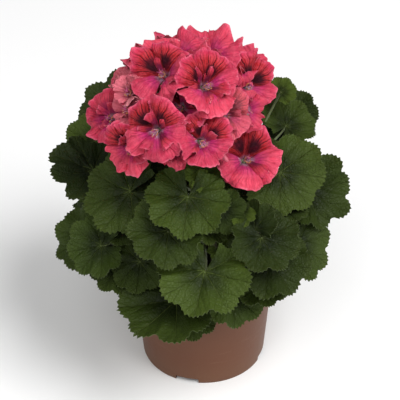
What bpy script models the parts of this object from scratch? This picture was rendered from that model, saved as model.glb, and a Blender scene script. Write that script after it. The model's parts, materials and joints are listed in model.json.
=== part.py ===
"""Regal pelargonium in a 13 cm nursery pot: pot, soil, leafy shoots and blooms.

Metres, +Z up. The pot stands on the origin and the plant's front is toward -Y.
Leaves and blooms that a viewer in front sees are set along lines of sight from VIEWPOINT;
the rest of the crown is filled in by rule.
"""

import math
import random
from collections import namedtuple

import bmesh
import bpy
import numpy as np
from mathutils import Vector
from mathutils.bvhtree import BVHTree

MM = 0.001

# Pot
POT_FOOT_RADIUS = 57.5 * MM
POT_RIM_RADIUS = 66.0 * MM
POT_HEIGHT = 110 * MM
POT_WALL = 1.6 * MM
POT_FLOOR = 5.0 * MM
POT_RECESS = 3.0 * MM
POT_PAD_RADIUS = 20 * MM
LIP_HEIGHT = 9 * MM
LIP_OUT = 1.6 * MM
POT_SIDES = 28
NOTCH_HEIGHT = 5 * MM
NOTCH_WIDTH = 22 * MM
NOTCH_AZIMUTHS = (-105.7, -15.7, 74.3, 164.3)
DRAIN_RADIUS = 3.5 * MM
DRAIN_RING = 40 * MM
DRAIN_COUNT = 4

# Soil
CLEARANCE = 0.3 * MM
SOIL_TOP = 97 * MM
SOIL_MOUND = 3 * MM
STEM_DEPTH = 26 * MM
SOIL_SEED = 5

# Shoots
INNER_SHOOTS = 5
OUTER_SHOOTS = 6
STEM_RADIUS = 3.6 * MM
STALK_RADIUS = 1.9 * MM
PEDICEL_RADIUS = 0.95 * MM
PETIOLE_RADIUS = 1.15 * MM
LONGEST_PETIOLE = 125 * MM

# Leaves
BLADE_THICKNESS = 0.8 * MM
LOBE_STEP = 43.0
SINUS_ANGLE = 166.0
RING_SHARE = 0.55
RING_POINTS = 6
RING_STEP = 300.0 / (RING_POINTS - 1)
# This many leaves, the most visible ones, have three teeth to a lobe, and the rest two.
FULL_EDGES = 23
CROWN_CENTRE = Vector((-5, 0, 150)) * MM
CROWN_REACH = Vector((112, 102, 98)) * MM

# Blooms
PETAL_THICKNESS = 0.7 * MM
HEAD_CENTRE = Vector((-20, -15, 272)) * MM
HEAD_RADIUS = 66 * MM
HEAD_DIRECTIONS = 160
HEAD_DEPTH = 1.12
BLOOM_DEPTH = 12 * MM
HUB_RADIUS = 3.0 * MM
HUB_HEIGHT = 2.8 * MM
HUB_FOOT_RADIUS = 2.5 * MM
PETAL_FOLD = 0.52
CLAW_START = 2.2 * MM
CLAW_HALF = 1.5 * MM
BACK_BLOOMS = 8
BLOOM_GAP = 0.6 * MM

# A Boolean's loose scraps have fewer points than this, and every real piece has more.
SPECK_POINTS = 9

# The viewpoint is 1.5 m from the plant and 37 degrees above it. Places in its view are
# given on a 400 x 400 picture whose lens is PICTURE_FOCAL long, in the same units.
VIEWPOINT = Vector((-0.0033, -1.200, 1.071))
VIEW_TARGET = Vector((-0.0033, 0.0, 0.1707))
PICTURE_MIDDLE = 200
PICTURE_FOCAL = 1667.6

VIEW_FORWARD = (VIEW_TARGET - VIEWPOINT).normalized()
VIEW_RIGHT = Vector((1, 0, 0))
VIEW_UP = VIEW_RIGHT.cross(VIEW_FORWARD)

Leaf = namedtuple("Leaf", "number junction sight size normal tip")
Shoot = namedtuple("Shoot", "number azimuth base_out top_out top_height umbel")

# Blooms in the view: (place, depth behind the head's surface in mm, radius in mm, facing as
# right/up/toward the viewer, angle of the two upper petals in the picture, openness).
# Earlier ones lie over later ones.
SEEN_BLOOMS = (
    ((154, 130), 0, 30, (-0.32, -0.03, 0.94), 96, 1.0),
    ((207, 84), 0, 31, (0.36, 0.26, 0.90), 116, 1.0),
    ((248, 157), -2, 32, (0.30, 0.30, 0.90), 90, 1.0),
    ((204, 141), 3, 26, (0.32, 0.02, 0.94), 80, 0.95),
    ((128, 148), 2, 25, (-0.45, -0.35, 0.80), 105, 0.95),
    ((161, 72), 2, 29, (-0.35, 0.36, 0.86), 104, 1.0),
    ((108, 117), 2, 26, (-0.60, 0.05, 0.75), 140, 0.9),
    ((250, 84), 3, 28, (0.52, 0.08, 0.84), 72, 1.0),
    ((250, 111), 7, 21, (0.60, -0.15, 0.78), 60, 0.9),
    ((175, 150), 7, 20, (-0.05, -0.45, 0.85), 90, 0.85),
    ((128, 90), 2, 17, (-0.45, 0.30, 0.82), 90, 0.5),
    ((177, 58), 12, 31, (-0.12, 0.45, 0.88), 96, 1.0),
    ((208, 54), 18, 31, (0.05, 0.50, 0.86), 88, 0.95),
    ((233, 64), 12, 30, (0.25, 0.42, 0.87), 74, 1.0),
    ((181, 106), 12, 26, (-0.05, 0.10, 1.00), 60, 0.9),
    ((155, 59), 12, 20, (-0.40, 0.50, 0.75), 105, 0.9),
    ((227, 113), 12, 26, (0.25, 0.05, 0.95), 70, 0.9),
    ((126, 108), 5, 16, (-0.50, 0.30, 0.80), 100, 0.9),
    ((252, 68), 14, 23, (0.60, 0.42, 0.65), 70, 0.9),
    ((142, 80), 54, 24, (-0.60, 0.40, 0.60), 95, 0.85),
)

# Leaves in the view: (place of the junction with its petiole, how far behind the crown's
# surface, radius in mm, facing as right/up/toward the viewer, angle of the tip in the picture).
SEEN_LEAVES = (
    ((205, 272), -4, 41, (-0.05, 0.35, 0.93), 255),
    ((176, 300), 6, 51, (-0.12, 0.55, 0.82), 188),
    ((262, 238), 0, 35, (0.10, 0.35, 0.90), 300),
    ((281, 172), 0, 39, (0.10, 0.10, 1.00), 310),
    ((188, 197), 0, 39, (0.00, 0.35, 0.93), 262),
    ((130, 192), 0, 44, (-0.20, 0.38, 0.90), 195),
    ((168, 232), 4, 35, (-0.10, 0.30, 0.95), 222),
    ((101, 246), 2, 30, (-0.15, 0.20, 0.95), 190),
    ((97, 143), 4, 33, (-0.30, 0.30, 0.90), 155),
    ((93, 171), 6, 42, (-0.05, 0.90, 0.42), 194),
    ((308, 191), 6, 39, (0.30, 0.05, 0.95), 12),
    ((297, 244), 6, 35, (0.40, 0.15, 0.90), 15),
    ((269, 260), 8, 36, (0.20, 0.32, 0.90), 305),
    ((260, 280), 12, 27, (0.10, 0.30, 0.90), 285),
    ((232, 292), 10, 33, (0.25, 0.10, 0.95), 275),
    ((190, 310), 14, 27, (0.15, 0.10, 1.00), 320),
    ((85, 238), 12, 31, (-0.40, 0.20, 0.90), 165),
    ((118, 268), 12, 27, (-0.10, 0.25, 0.95), 235),
    ((286, 126), 6, 29, (0.20, 0.45, 0.85), 55),
    ((288, 117), 16, 32, (0.45, 0.30, 0.80), 48),
    ((120, 112), 30, 39, (-0.20, 0.20, 0.95), 140),
    ((255, 230), 14, 28, (-0.25, 0.40, 0.85), 130),
    ((204, 222), 12, 26, (0.20, 0.30, 0.92), 315),
    ((204, 173), 8, 20, (0.10, 0.40, 0.90), 285),
    ((240, 196), 16, 24, (0.10, 0.40, 0.90), 275),
    ((268, 102), 10, 21, (0.05, 0.50, 0.85), 25),
    ((286, 210), 22, 22, (0.20, 0.60, 0.78), 300),
    ((140, 262), 16, 30, (-0.10, 0.30, 0.95), 220),
    ((126, 228), 30, 25, (0.00, 0.50, 0.85), 200),
    ((222, 210), 24, 24, (0.10, 0.40, 0.90), 330),
    ((248, 262), 34, 24, (0.10, 0.35, 0.92), 275),
    ((184, 178), 60, 26, (0.00, 0.75, 0.65), 90),
    ((145, 168), 34, 30, (-0.20, 0.50, 0.83), 240),
    ((222, 190), 60, 26, (0.10, 0.75, 0.65), 80),
    ((277, 134), 22, 25, (0.15, 0.40, 0.90), 320),
)

# Rows of leaves round the sides and back, and under the blooms: (height in mm, distance from
# the axis in mm, how many, first azimuth, last azimuth, lean from level in degrees, radius in mm).
LEAF_ROWS = (
    (126, 98, 6, -4, 180, 62, 35),
    (163, 108, 5, 20, 166, 50, 37),
    (200, 98, 4, 34, 146, 38, 36),
    (228, 76, 3, 30, 150, 28, 34),
    (214, 50, 3, 10, 190, 22, 29),
    (148, 84, 2, -30, 205, 50, 26),
)
LEAF_CANDIDATES = 64
PETIOLE_ROUTES = 25


# Plan of the plant


def sight(place):
    """Unit vector from the viewpoint through a place in the picture."""
    across, down = place
    aim = (
        VIEW_FORWARD * PICTURE_FOCAL
        + VIEW_RIGHT * (across - PICTURE_MIDDLE)
        + VIEW_UP * (PICTURE_MIDDLE - down)
    )
    return aim.normalized()


def facing_vector(facing):
    """World direction from its right, up and toward-the-viewer parts."""
    right, up, toward = facing
    return (VIEW_RIGHT * right + VIEW_UP * up - VIEW_FORWARD * toward).normalized()


def turned_in_view(normal, degrees):
    """The direction square to normal that points along an angle of the picture."""
    angle = math.radians(degrees)
    wanted = VIEW_RIGHT * math.cos(angle) + VIEW_UP * math.sin(angle)
    toward = -VIEW_FORWARD
    slope = max(normal.dot(toward), 0.25)
    along = wanted - toward * (wanted.dot(normal) / slope)
    return (along - normal * along.dot(normal)).normalized()


def meet_dome(place, centre, reach):
    """Where a line of sight meets an ellipsoid, or passes nearest to it."""
    aim = sight(place)
    start = [(VIEWPOINT[i] - centre[i]) / reach[i] for i in range(3)]
    step = [aim[i] / reach[i] for i in range(3)]
    a = sum(s * s for s in step)
    b = sum(s * t for s, t in zip(start, step))
    c = sum(s * s for s in start) - 1
    inside = max(b * b - a * c, 0.0)
    return VIEWPOINT + aim * ((-b - math.sqrt(inside)) / a)


def unit_polar(azimuth, lean):
    """Direction that leans from +Z toward an azimuth, both in degrees."""
    a, b = math.radians(azimuth), math.radians(lean)
    return Vector((math.sin(b) * math.cos(a), math.sin(b) * math.sin(a), math.cos(b)))


def plan_blooms():
    """Blooms in the view, then each further one where the head is emptiest."""
    reach = Vector((1, 1, 1)) * HEAD_RADIUS
    blooms = []
    for place, deep, size, facing, up_angle, openness in SEEN_BLOOMS:
        middle = meet_dome(place, HEAD_CENTRE, reach) + sight(place) * deep * MM
        axis = facing_vector(facing)
        blooms.append((middle, axis, turned_in_view(axis, up_angle), size * MM, openness))
    draw = random.Random(46)
    for _ in range(BACK_BLOOMS):
        outward = emptiest_direction([bloom[0] for bloom in blooms])
        tilt = Vector([draw.uniform(-0.2, 0.2) for _ in range(3)])
        axis = (outward + tilt + Vector((0, 0, 0.2))).normalized()
        up = (Vector((0, 0, 1)) - axis * axis.z).normalized()
        swing = draw.uniform(-0.5, 0.5)
        up = (up * math.cos(swing) + axis.cross(up) * math.sin(swing)).normalized()
        middle = HEAD_CENTRE + outward * (HEAD_RADIUS - draw.uniform(0, 6) * MM)
        blooms.append((middle, axis, up, draw.uniform(27, 30) * MM, draw.uniform(0.8, 1.0)))
    return blooms


def emptiest_direction(places):
    """Direction from the head's centre that is farthest from the blooms placed so far."""
    best, best_gap = None, -1.0
    for k in range(HEAD_DIRECTIONS):
        height = 1 - HEAD_DEPTH * (k + 0.5) / HEAD_DIRECTIONS
        azimuth = math.degrees(k * math.pi * (3 - math.sqrt(5)))
        outward = unit_polar(azimuth, math.degrees(math.acos(height)))
        gap = min((HEAD_CENTRE + outward * HEAD_RADIUS - place).length for place in places)
        if gap > best_gap:
            best, best_gap = outward, gap
    return best


def plan_shoots():
    """Inner shoots carry an umbel each; outer ones carry leaves only."""
    shoots = []
    for k in range(INNER_SHOOTS):
        azimuth = -126 + 360 * k / INNER_SHOOTS
        umbel = HEAD_CENTRE + unit_polar(azimuth, 90) * 25 * MM - Vector((0, 0, 14 * MM))
        shoots.append(Shoot(k + 1, azimuth, 16 * MM, 34 * MM, 205 * MM, umbel))
    for k in range(OUTER_SHOOTS):
        azimuth = -90 + 360 * k / OUTER_SHOOTS
        height = (168 + 10 * (k % 2)) * MM
        shoots.append(Shoot(INNER_SHOOTS + k + 1, azimuth, 35 * MM, 66 * MM, height, None))
    return shoots


def stem_point(shoot, t):
    """Point of a shoot's stem, from the soil at t = 0 to its top at t = 1."""
    out = shoot.base_out + (shoot.top_out - shoot.base_out) * t**1.6
    level = unit_polar(shoot.azimuth, 90) * out
    return level + Vector((0, 0, SOIL_TOP + (shoot.top_height - SOIL_TOP) * t))


def bezier(points, t):
    a, b, c, d = points
    s = 1 - t
    return a * s**3 + b * (3 * s * s * t) + c * (3 * s * t * t) + d * t**3


def stalk_path(shoot):
    """Control points of the flower stalk, from the stem's top to the umbel."""
    start = stem_point(shoot, 1)
    lean = (start - stem_point(shoot, 0.85)).normalized()
    reach = (shoot.umbel - start).length
    end = shoot.umbel
    return start, start + lean * reach * 0.4, end - Vector((0, 0, reach * 0.4)), end


def pedicel_path(umbel, bloom):
    """Control points of a pedicel, from the umbel to just under its bloom."""
    middle, axis = bloom[0], bloom[1]
    end = middle - axis * (BLOOM_DEPTH + 3.4 * MM)
    reach = (end - umbel).length
    rise = (end - umbel).normalized() + Vector((0, 0, 0.25))
    return umbel, umbel + rise * reach * 0.35, end - axis * reach * 0.4, end


def plan_leaves():
    """Every leaf's first pose, before it is moved clear of its neighbours."""
    leaves = []
    for place, deep, size, facing, tip_angle in SEEN_LEAVES:
        normal = facing_vector(facing)
        junction = meet_dome(place, CROWN_CENTRE, CROWN_REACH) + sight(place) * deep * MM
        tip = turned_in_view(normal, tip_angle)
        leaves.append(Leaf(len(leaves), junction, sight(place), size * MM, normal, tip))
    draw = random.Random(77)
    for height, out, count, first, last, lean, size in LEAF_ROWS:
        for k in range(count):
            azimuth = first + (last - first) * k / (count - 1) + draw.uniform(-7, 7)
            level = out + draw.uniform(-6, 6)
            junction = unit_polar(azimuth, 90) * level * 0.86 * MM
            junction += Vector((CROWN_CENTRE.x, 0, (height + draw.uniform(-7, 7)) * MM))
            tilt = lean + draw.uniform(-12, 12)
            normal = unit_polar(azimuth + draw.uniform(-16, 16), tilt)
            down = unit_polar(azimuth, tilt + 90)
            tip = (down - normal * down.dot(normal)).normalized()
            side = normal.cross(tip)
            swing = math.radians(draw.uniform(-35, 35))
            tip = tip * math.cos(swing) + side * math.sin(swing)
            outward = unit_polar(azimuth, 90)
            reach = (size + draw.uniform(-4, 4)) * MM
            leaves.append(Leaf(len(leaves), junction, -outward, reach, normal, tip))
    return leaves


def leaf_candidate(leaf, k):
    """The k-th pose to try for a leaf: moved along its line of sight and tilted a little more."""
    if k == 0:
        return leaf
    draw = random.Random(1000 * leaf.number + k)
    spread = min(1.0, 0.15 + k / 24)
    along = draw.uniform(-20, 24) * spread * MM
    tilt = Vector([draw.uniform(-0.42, 0.42) * spread for _ in range(3)])
    normal = (leaf.normal + tilt).normalized()
    tip = (leaf.tip - normal * leaf.tip.dot(normal)).normalized()
    size = leaf.size * (1 - 0.12 * spread * draw.random())
    return leaf._replace(
        junction=leaf.junction + leaf.sight * along, normal=normal, tip=tip, size=size
    )


def petiole_end(leaf):
    """Where the petiole enters the blade: on its first facet, just ahead of the junction."""
    ring = np.array([0.0, 0.5, -0.5]) * RING_STEP
    centre, left, right = blade_points(leaf, np.array([0.0, RING_SHARE, RING_SHARE]), ring)
    return Vector(centre + ((left + right) / 2 - centre) * 0.2)


def petiole_path(leaf, shoots, route):
    """Control points of one possible petiole, from a stem to the leaf's junction, and its shoot."""
    nearest = sorted(shoots, key=lambda s: (stem_point(s, 0.7) - leaf.junction).length)
    shoot = nearest[route % 5]
    start = stem_point(shoot, (0.86, 0.68, 0.50, 0.32, 0.16)[route // 5])
    reach = (leaf.junction - start).length
    outward = leaf.junction - start
    outward.z = 0
    leave = (outward.normalized() * 0.8 + Vector((0, 0, 0.75))).normalized()
    arrive = (-leaf.normal * 0.62 - leaf.tip * 0.62).normalized()
    end = petiole_end(leaf)
    return shoot, (start, start + leave * reach * 0.36, end + arrive * reach * 0.36, end)


# Surfaces


def blade_traits(leaf):
    """A leaf's own shape, drawn from its number."""
    draw = random.Random(5000 + leaf.number)
    return {
        "lobe": draw.uniform(0.13, 0.19),
        "broad": draw.uniform(0.96, 1.08),
        "cup": draw.uniform(0.0, 0.22),
        "fold": draw.uniform(0.0, 0.16),
        "wave": draw.uniform(0.06, 0.13),
        "waves": draw.choice((3, 4, 5)),
        "phase": draw.uniform(0, 2 * math.pi),
        "droop": draw.uniform(0.0, 0.12),
    }


def blade_points(leaf, r, degrees):
    """Middle surface of a blade: r from 0 at the petiole to 1 at the edge, angle from the tip."""
    traits = blade_traits(leaf)
    r = np.asarray(r, float)
    a = np.radians(degrees)
    outline = 1 - 0.38 * (np.abs(degrees) / 165.0) ** 3.2
    lobes = np.abs(np.cos(np.pi * degrees / LOBE_STEP)) ** 0.7
    outline = outline * (1 - traits["lobe"] * (1 - lobes))
    x = r * outline * np.cos(a)
    y = r * outline * np.sin(a) * traits["broad"]
    relief = traits["cup"] * r**2 + traits["fold"] * np.abs(y)
    relief = relief + traits["wave"] * r**2.5 * np.sin(traits["waves"] * a + traits["phase"])
    relief = relief - traits["droop"] * r**2 * np.cos(a)
    pleat = 0.030 * r * (1 - 0.35 * r) * np.cos(2 * np.pi * degrees / LOBE_STEP)
    relief = relief - pleat
    side = leaf.normal.cross(leaf.tip)
    basis = np.array([leaf.tip, side, leaf.normal])
    local = np.stack([x, y, relief], axis=-1) * leaf.size
    return np.array(leaf.junction) + local @ basis


def zip_rows(inner, outer):
    """Triangles between two rows of points that run the same way."""
    faces = []
    i = j = 0
    last_i, last_j = len(inner) - 1, len(outer) - 1
    while i < last_i or j < last_j:
        if j == last_j or (i < last_i and (i + 1) * last_j <= (j + 1) * last_i):
            faces.append((inner[i], outer[j], inner[i + 1]))
            i += 1
        else:
            faces.append((inner[i], outer[j], outer[j + 1]))
            j += 1
    return faces


def blade_sheet(leaf):
    """A leaf blade as a fan of triangles: petiole, a ring, and an edge of seven lobes."""
    ring = (np.arange(RING_POINTS) - (RING_POINTS - 1) / 2) * RING_STEP
    edge = []
    teeth = (-12, 0, 12) if leaf.number < FULL_EDGES else (-10, 10)
    for lobe in range(-3, 4):
        middle = lobe * LOBE_STEP
        edge += [middle + tooth for tooth in teeth] + [middle + LOBE_STEP / 2]
    edge = np.clip(np.array([-SINUS_ANGLE + 8] + edge), -SINUS_ANGLE, SINUS_ANGLE)
    r = np.concatenate([[0.0], np.full(len(ring), RING_SHARE), np.full(len(edge), 1.0)])
    degrees = np.concatenate([[0.0], ring, edge])
    rows = list(range(1, 1 + len(ring)))
    rim = list(range(1 + len(ring), len(r)))
    faces = [(0, a, b) for a, b in zip(rows, rows[1:])] + zip_rows(rows, rim)
    return blade_points(leaf, r, degrees), faces


# Petals, anticlockwise from the bloom's up: (azimuth, length and half width against the
# bloom's radius, how fast the claw widens, tilt about the midrib).
PETALS = (
    (37, 1.06, 0.68, 0.69, 0.14),
    (109, 1.00, 0.64, 0.66, 0.15),
    (181, 1.00, 0.64, 0.66, 0.12),
    (253, 1.00, 0.64, 0.66, 0.15),
    (323, 1.06, 0.68, 0.69, 0.14),
)
FIRST_CORNER = 1


def petal_points(bloom, number, petal, u, v):
    """Middle surface of a petal before its neighbours press on it.

    u runs from the claw to the edge and v from -1 to 1 across it.
    """
    middle, axis, up, size, openness = bloom
    azimuth, length, half, widening, tilt = PETALS[petal]
    draw = random.Random(9000 + 10 * number + petal)
    phase = draw.uniform(0, 2 * math.pi)
    ruffle = draw.uniform(0.07, 0.12) * size
    steep = math.radians(68 + 12 * (1 - openness))
    flat = math.radians(-10 + 75 * (1 - openness) + draw.uniform(-12, 12))
    edge = 1 - 0.34 * np.abs(v) ** 3.2 - 0.035 * np.exp(-((v / 0.16) ** 2))
    reach = length * size * 1.06 * edge
    angle = steep + (flat - steep) * u
    along = CLAW_START + reach * (np.sin(angle) - math.sin(steep)) / (flat - steep)
    rise = 1.2 * MM + reach * (math.cos(steep) - np.cos(angle)) / (flat - steep)
    claw = CLAW_HALF + widening * np.maximum(along - CLAW_START, 0)
    across = v * (claw**-4 + (half * size) ** -4) ** -0.25
    wave = ruffle * u**2 * np.sin(math.pi * 1.9 * v + phase) * (1 - 0.6 * np.abs(v) ** 3)
    wave = wave + 0.35 * ruffle * u**3 * np.sin(math.pi * 4.3 * v + 2 * phase) * (1 - v * v)
    lift = wave + across * tilt * u - 0.05 * size * u * v * v
    along = along - np.sin(angle) * lift
    rise = rise + np.cos(angle) * lift
    turn = math.radians(azimuth)
    left = axis.cross(up)
    outward = np.array(up * math.cos(turn) + left * math.sin(turn))
    sideways = np.array(left * math.cos(turn) - up * math.sin(turn))
    base = np.array(middle - axis * BLOOM_DEPTH)
    return (
        base
        + along[..., None] * outward
        + across[..., None] * sideways
        + rise[..., None] * np.array(axis)
    )


def bloom_cells(blooms):
    """For each bloom, the planes between it and its neighbours.

    A plane leans so that the earlier bloom lies over the later one.
    """
    cells = []
    for i, (middle, axis, _, size, _) in enumerate(blooms):
        planes = []
        for j, (other, other_axis, _, other_size, _) in enumerate(blooms):
            between = other - middle
            if i == j or between.length > size + other_size + 12 * MM:
                continue
            outward = (axis + other_axis).normalized()
            over = 1 if i < j else -1
            share = size / (size + other_size)
            point = middle + between * share + between.normalized() * over * 2.0 * MM
            lean = (between.normalized() - outward * 0.55 * over).normalized()
            planes.append((np.array(point), np.array(lean), over))
        cells.append(planes)
    return cells


def press_into_cell(points, bloom, planes):
    """Bends petals that reach past a neighbour's plane: curled up over it or down under it."""
    middle, axis = np.array(bloom[0]), np.array(bloom[1])
    gap, soft = BLOOM_GAP, 5 * MM
    points = points.copy()
    for point, lean, over in planes:
        past = (points - point) @ lean + gap + soft
        past = np.maximum(past, 0)
        kept = soft * (1 - np.exp(-past / soft))
        points -= (past - kept)[..., None] * lean
        points += (past - kept)[..., None] * axis * 0.35 * over
    anchor = middle - axis * 6 * MM
    share = np.ones(points.shape[:-1])
    for point, lean, over in planes:
        limit = -gap
        here = (points - point) @ lean
        start = (anchor - point) @ lean
        beyond = here > limit
        cut = (limit - start) / np.where(beyond, here - start, 1)
        share = np.where(beyond, np.minimum(share, cut), share)
    return anchor + (points - anchor) * share[..., None]


def hub_corners(bloom, radius, height):
    """Five corners of the corolla's base, one between each two petals."""
    middle, axis, up = bloom[:3]
    base = middle - axis * (BLOOM_DEPTH - height)
    left = axis.cross(up)
    turns = [math.radians(FIRST_CORNER + 72 * k) for k in range(5)]
    return [base + (up * math.cos(t) + left * math.sin(t)) * radius for t in turns]


def petal_edge_points(bloom, number, petal, planes):
    """The petal's points beyond its claw, in a row of 3 and a row of 5."""
    u = np.array([PETAL_FOLD] * 3 + [1.0] * 5)
    v = np.concatenate([np.linspace(-1, 1, 3), np.linspace(-1, 1, 5)])
    return press_into_cell(petal_points(bloom, number, petal, u, v), bloom, planes)


# Solids


def thicken(points, faces, thickness):
    """Closed shell about a sheet, moved half the thickness each way and joined at its edge."""
    corners = points[np.array(faces)]
    square = np.cross(corners[:, 1] - corners[:, 0], corners[:, 2] - corners[:, 0])
    normals = np.zeros_like(points)
    for k in range(3):
        np.add.at(normals, np.array(faces)[:, k], square)
    normals /= np.linalg.norm(normals, axis=1)[:, None]
    count = len(points)
    both = np.concatenate([points + normals * thickness / 2, points - normals * thickness / 2])
    shell = list(faces) + [(c + count, b + count, a + count) for a, b, c in faces]
    ways = {(f[k], f[(k + 1) % 3]) for f in faces for k in range(3)}
    for a, b in sorted(ways):
        if (b, a) not in ways:
            shell += [(b, a, a + count), (b, a + count, b + count)]
    return both, shell


def tube(points, radii, sides, side=None):
    """Closed tube along points, with a flat end at each. The first corner points to side."""
    rings = []
    along = (points[1] - points[0]).normalized()
    side = side or along.orthogonal().normalized()
    for k, point in enumerate(points):
        back = points[max(k - 1, 0)]
        ahead = points[min(k + 1, len(points) - 1)]
        along = (ahead - back).normalized()
        side = (side - along * side.dot(along)).normalized()
        other = along.cross(side)
        for s in range(sides):
            angle = 2 * math.pi * s / sides
            rings.append(point + (side * math.cos(angle) + other * math.sin(angle)) * radii[k])
    faces = []
    for k in range(len(points) - 1):
        for s in range(sides):
            a = k * sides + s
            b = k * sides + (s + 1) % sides
            faces += [(a, b, b + sides), (a, b + sides, a + sides)]
    top = (len(points) - 1) * sides
    for s in range(1, sides - 1):
        faces.append((0, s + 1, s))
        faces.append((top, top + s, top + s + 1))
    return np.array(rings), faces


def along_path(path, count):
    return [bezier(path, k / (count - 1)) for k in range(count)]


def petiole_tube(path, extra=0.0):
    radii = [(PETIOLE_RADIUS + extra) * s for s in (1.25, 1.0, 0.92, 0.35)]
    return tube(along_path(path, 4), radii, 3)


def stem_tube(shoot):
    """Stem from its foot in the soil, straight there, to its top."""
    foot = stem_point(shoot, 0)
    points = [foot - Vector((0, 0, STEM_DEPTH - CLEARANCE)), foot + Vector((0, 0, 4 * MM))]
    points += [stem_point(shoot, t) for t in (0.35, 0.7, 1.0)]
    radii = [STEM_RADIUS * s for s in (1.0, 1.0, 0.92, 0.82, 0.62)]
    return tube(points, radii, 6)


def stalk_tube(shoot):
    radii = [STALK_RADIUS * s for s in (1.1, 1.05, 1.0, 1.0)]
    return tube(along_path(stalk_path(shoot), 4), radii, 5)


def pedicel_tube(path, axis):
    """Pedicel that widens into the calyx, whose flat top lies CLEARANCE under its bloom."""
    end = path[3]
    points = along_path(path, 4) + [end + axis * 3.1 * MM]
    radii = [PEDICEL_RADIUS * s for s in (1.2, 1.0, 1.0, 1.15)] + [2.7 * MM]
    return tube(points, radii, 4)


def corolla(bloom, number, planes):
    """Five petals that grow out of the five sides of one hub, as one closed shell."""
    top = hub_corners(bloom, HUB_RADIUS, HUB_HEIGHT)
    bottom = hub_corners(bloom, HUB_FOOT_RADIUS, 0)
    points = [np.array(p) for p in top + bottom]
    faces = [(0, 1, 2), (0, 2, 3), (0, 3, 4), (5, 7, 6), (5, 8, 7), (5, 9, 8)]
    for petal in range(5):
        claw = [petal, (petal + 1) % 5]
        outer = petal_edge_points(bloom, number, petal, planes)
        sheet = np.concatenate([[points[k] for k in claw], outer])
        rows = [[0, 1], [2, 3, 4], [5, 6, 7, 8, 9]]
        grid = zip_rows(rows[0], rows[1]) + zip_rows(rows[1], rows[2])
        both, shell = thicken(sheet, grid, PETAL_THICKNESS)
        start = len(points)
        place = {0: claw[0], 1: claw[1], 10: claw[0] + 5, 11: claw[1] + 5}
        for k in range(8):
            place[2 + k] = start + k
            place[12 + k] = start + 8 + k
        points += list(both[2:10]) + list(both[12:20])
        for face in shell:
            if not set(face) <= {0, 1, 10, 11}:
                faces.append(tuple(place[k] for k in face))
    return np.array(points), faces


# Growth


class Crown:
    """Everything placed so far, to keep each new piece clear of it."""

    def __init__(self):
        self.points = []
        self.faces = []
        self.owners = []
        self.tree = None

    def add(self, piece, owner):
        points, faces = piece
        start = len(self.points)
        self.points += [tuple(p) for p in points]
        self.faces += [tuple(i + start for i in face) for face in faces]
        self.owners += [owner] * len(faces)
        self.tree = BVHTree.FromPolygons(self.points, self.faces)

    def hits(self, piece, may_meet=()):
        points, faces = piece
        found = BVHTree.FromPolygons([tuple(p) for p in points], faces).overlap(self.tree)
        return any(self.owners[j] not in may_meet for _, j in found)


def meets_own_blade(path, blade):
    """True where a petiole crosses its own blade away from the junction."""
    points = [bezier(path, t) for t in (0, 0.25, 0.5, 0.75, 0.9)]
    neck = tube(points, [PETIOLE_RADIUS * 1.2] * 5, 3)
    first = BVHTree.FromPolygons([tuple(p) for p in neck[0]], neck[1])
    second = BVHTree.FromPolygons([tuple(p) for p in blade[0]], blade[1])
    return bool(first.overlap(second))


def grow_leaf(leaf, shoots, crown):
    """The first pose and petiole of a leaf that are clear of the rest, or None."""
    for k in range(LEAF_CANDIDATES):
        pose = leaf_candidate(leaf, k)
        points, faces = blade_sheet(pose)
        guard = thicken(points, faces, BLADE_THICKNESS + 0.8 * MM)
        if crown.hits(guard):
            continue
        for route in range(PETIOLE_ROUTES):
            shoot, path = petiole_path(pose, shoots, route)
            reach = (path[3] - path[0]).length
            if reach > LONGEST_PETIOLE or reach < 18 * MM:
                continue
            own = {("stem", shoot.number), ("petiole", shoot.number)}
            if crown.hits(petiole_tube(path, 0.35 * MM), own):
                continue
            if meets_own_blade(path, guard):
                continue
            blade = thicken(points, faces, BLADE_THICKNESS)
            crown.add(blade, ("blade", pose.number))
            crown.add(petiole_tube(path), ("petiole", shoot.number))
            return shoot.number, [blade, petiole_tube(path)]
    return None


# Objects


def clear_scene():
    for obj in list(bpy.data.objects):
        bpy.data.objects.remove(obj, do_unlink=True)


def material(name, colour, roughness):
    made = bpy.data.materials.new(name)
    made.use_nodes = True
    shader = made.node_tree.nodes["Principled BSDF"]
    shader.inputs["Base Color"].default_value = (*colour, 1)
    shader.inputs["Roughness"].default_value = roughness
    shader.inputs["Metallic"].default_value = 0
    made.diffuse_color = (*colour, 1)
    return made


def mesh_object(name, piece, collection=None):
    points, faces = piece
    mesh = bpy.data.meshes.new(name)
    mesh.from_pydata([tuple(p) for p in points], [], faces)
    mesh.update()
    obj = bpy.data.objects.new(name, mesh)
    (collection or bpy.context.scene.collection).objects.link(obj)
    return obj


def apply_modifiers(obj):
    graph = bpy.context.evaluated_depsgraph_get()
    made = bpy.data.meshes.new_from_object(obj.evaluated_get(graph))
    obj.modifiers.clear()
    old = obj.data
    obj.data = made
    bpy.data.meshes.remove(old)


def drop_crumbs(mesh):
    """Removes the loose specks of a few points that a Boolean can leave."""
    edit = bmesh.new()
    edit.from_mesh(mesh)
    left = set(edit.verts)
    bodies = []
    while left:
        body = {left.pop()}
        front = list(body)
        while front:
            vert = front.pop()
            for edge in vert.link_edges:
                other = edge.other_vert(vert)
                if other in left:
                    left.remove(other)
                    body.add(other)
                    front.append(other)
        bodies.append(body)
    for body in bodies:
        if len(body) < SPECK_POINTS:
            bmesh.ops.delete(edit, geom=list(body), context="VERTS")
    edit.to_mesh(mesh)
    edit.free()


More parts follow.
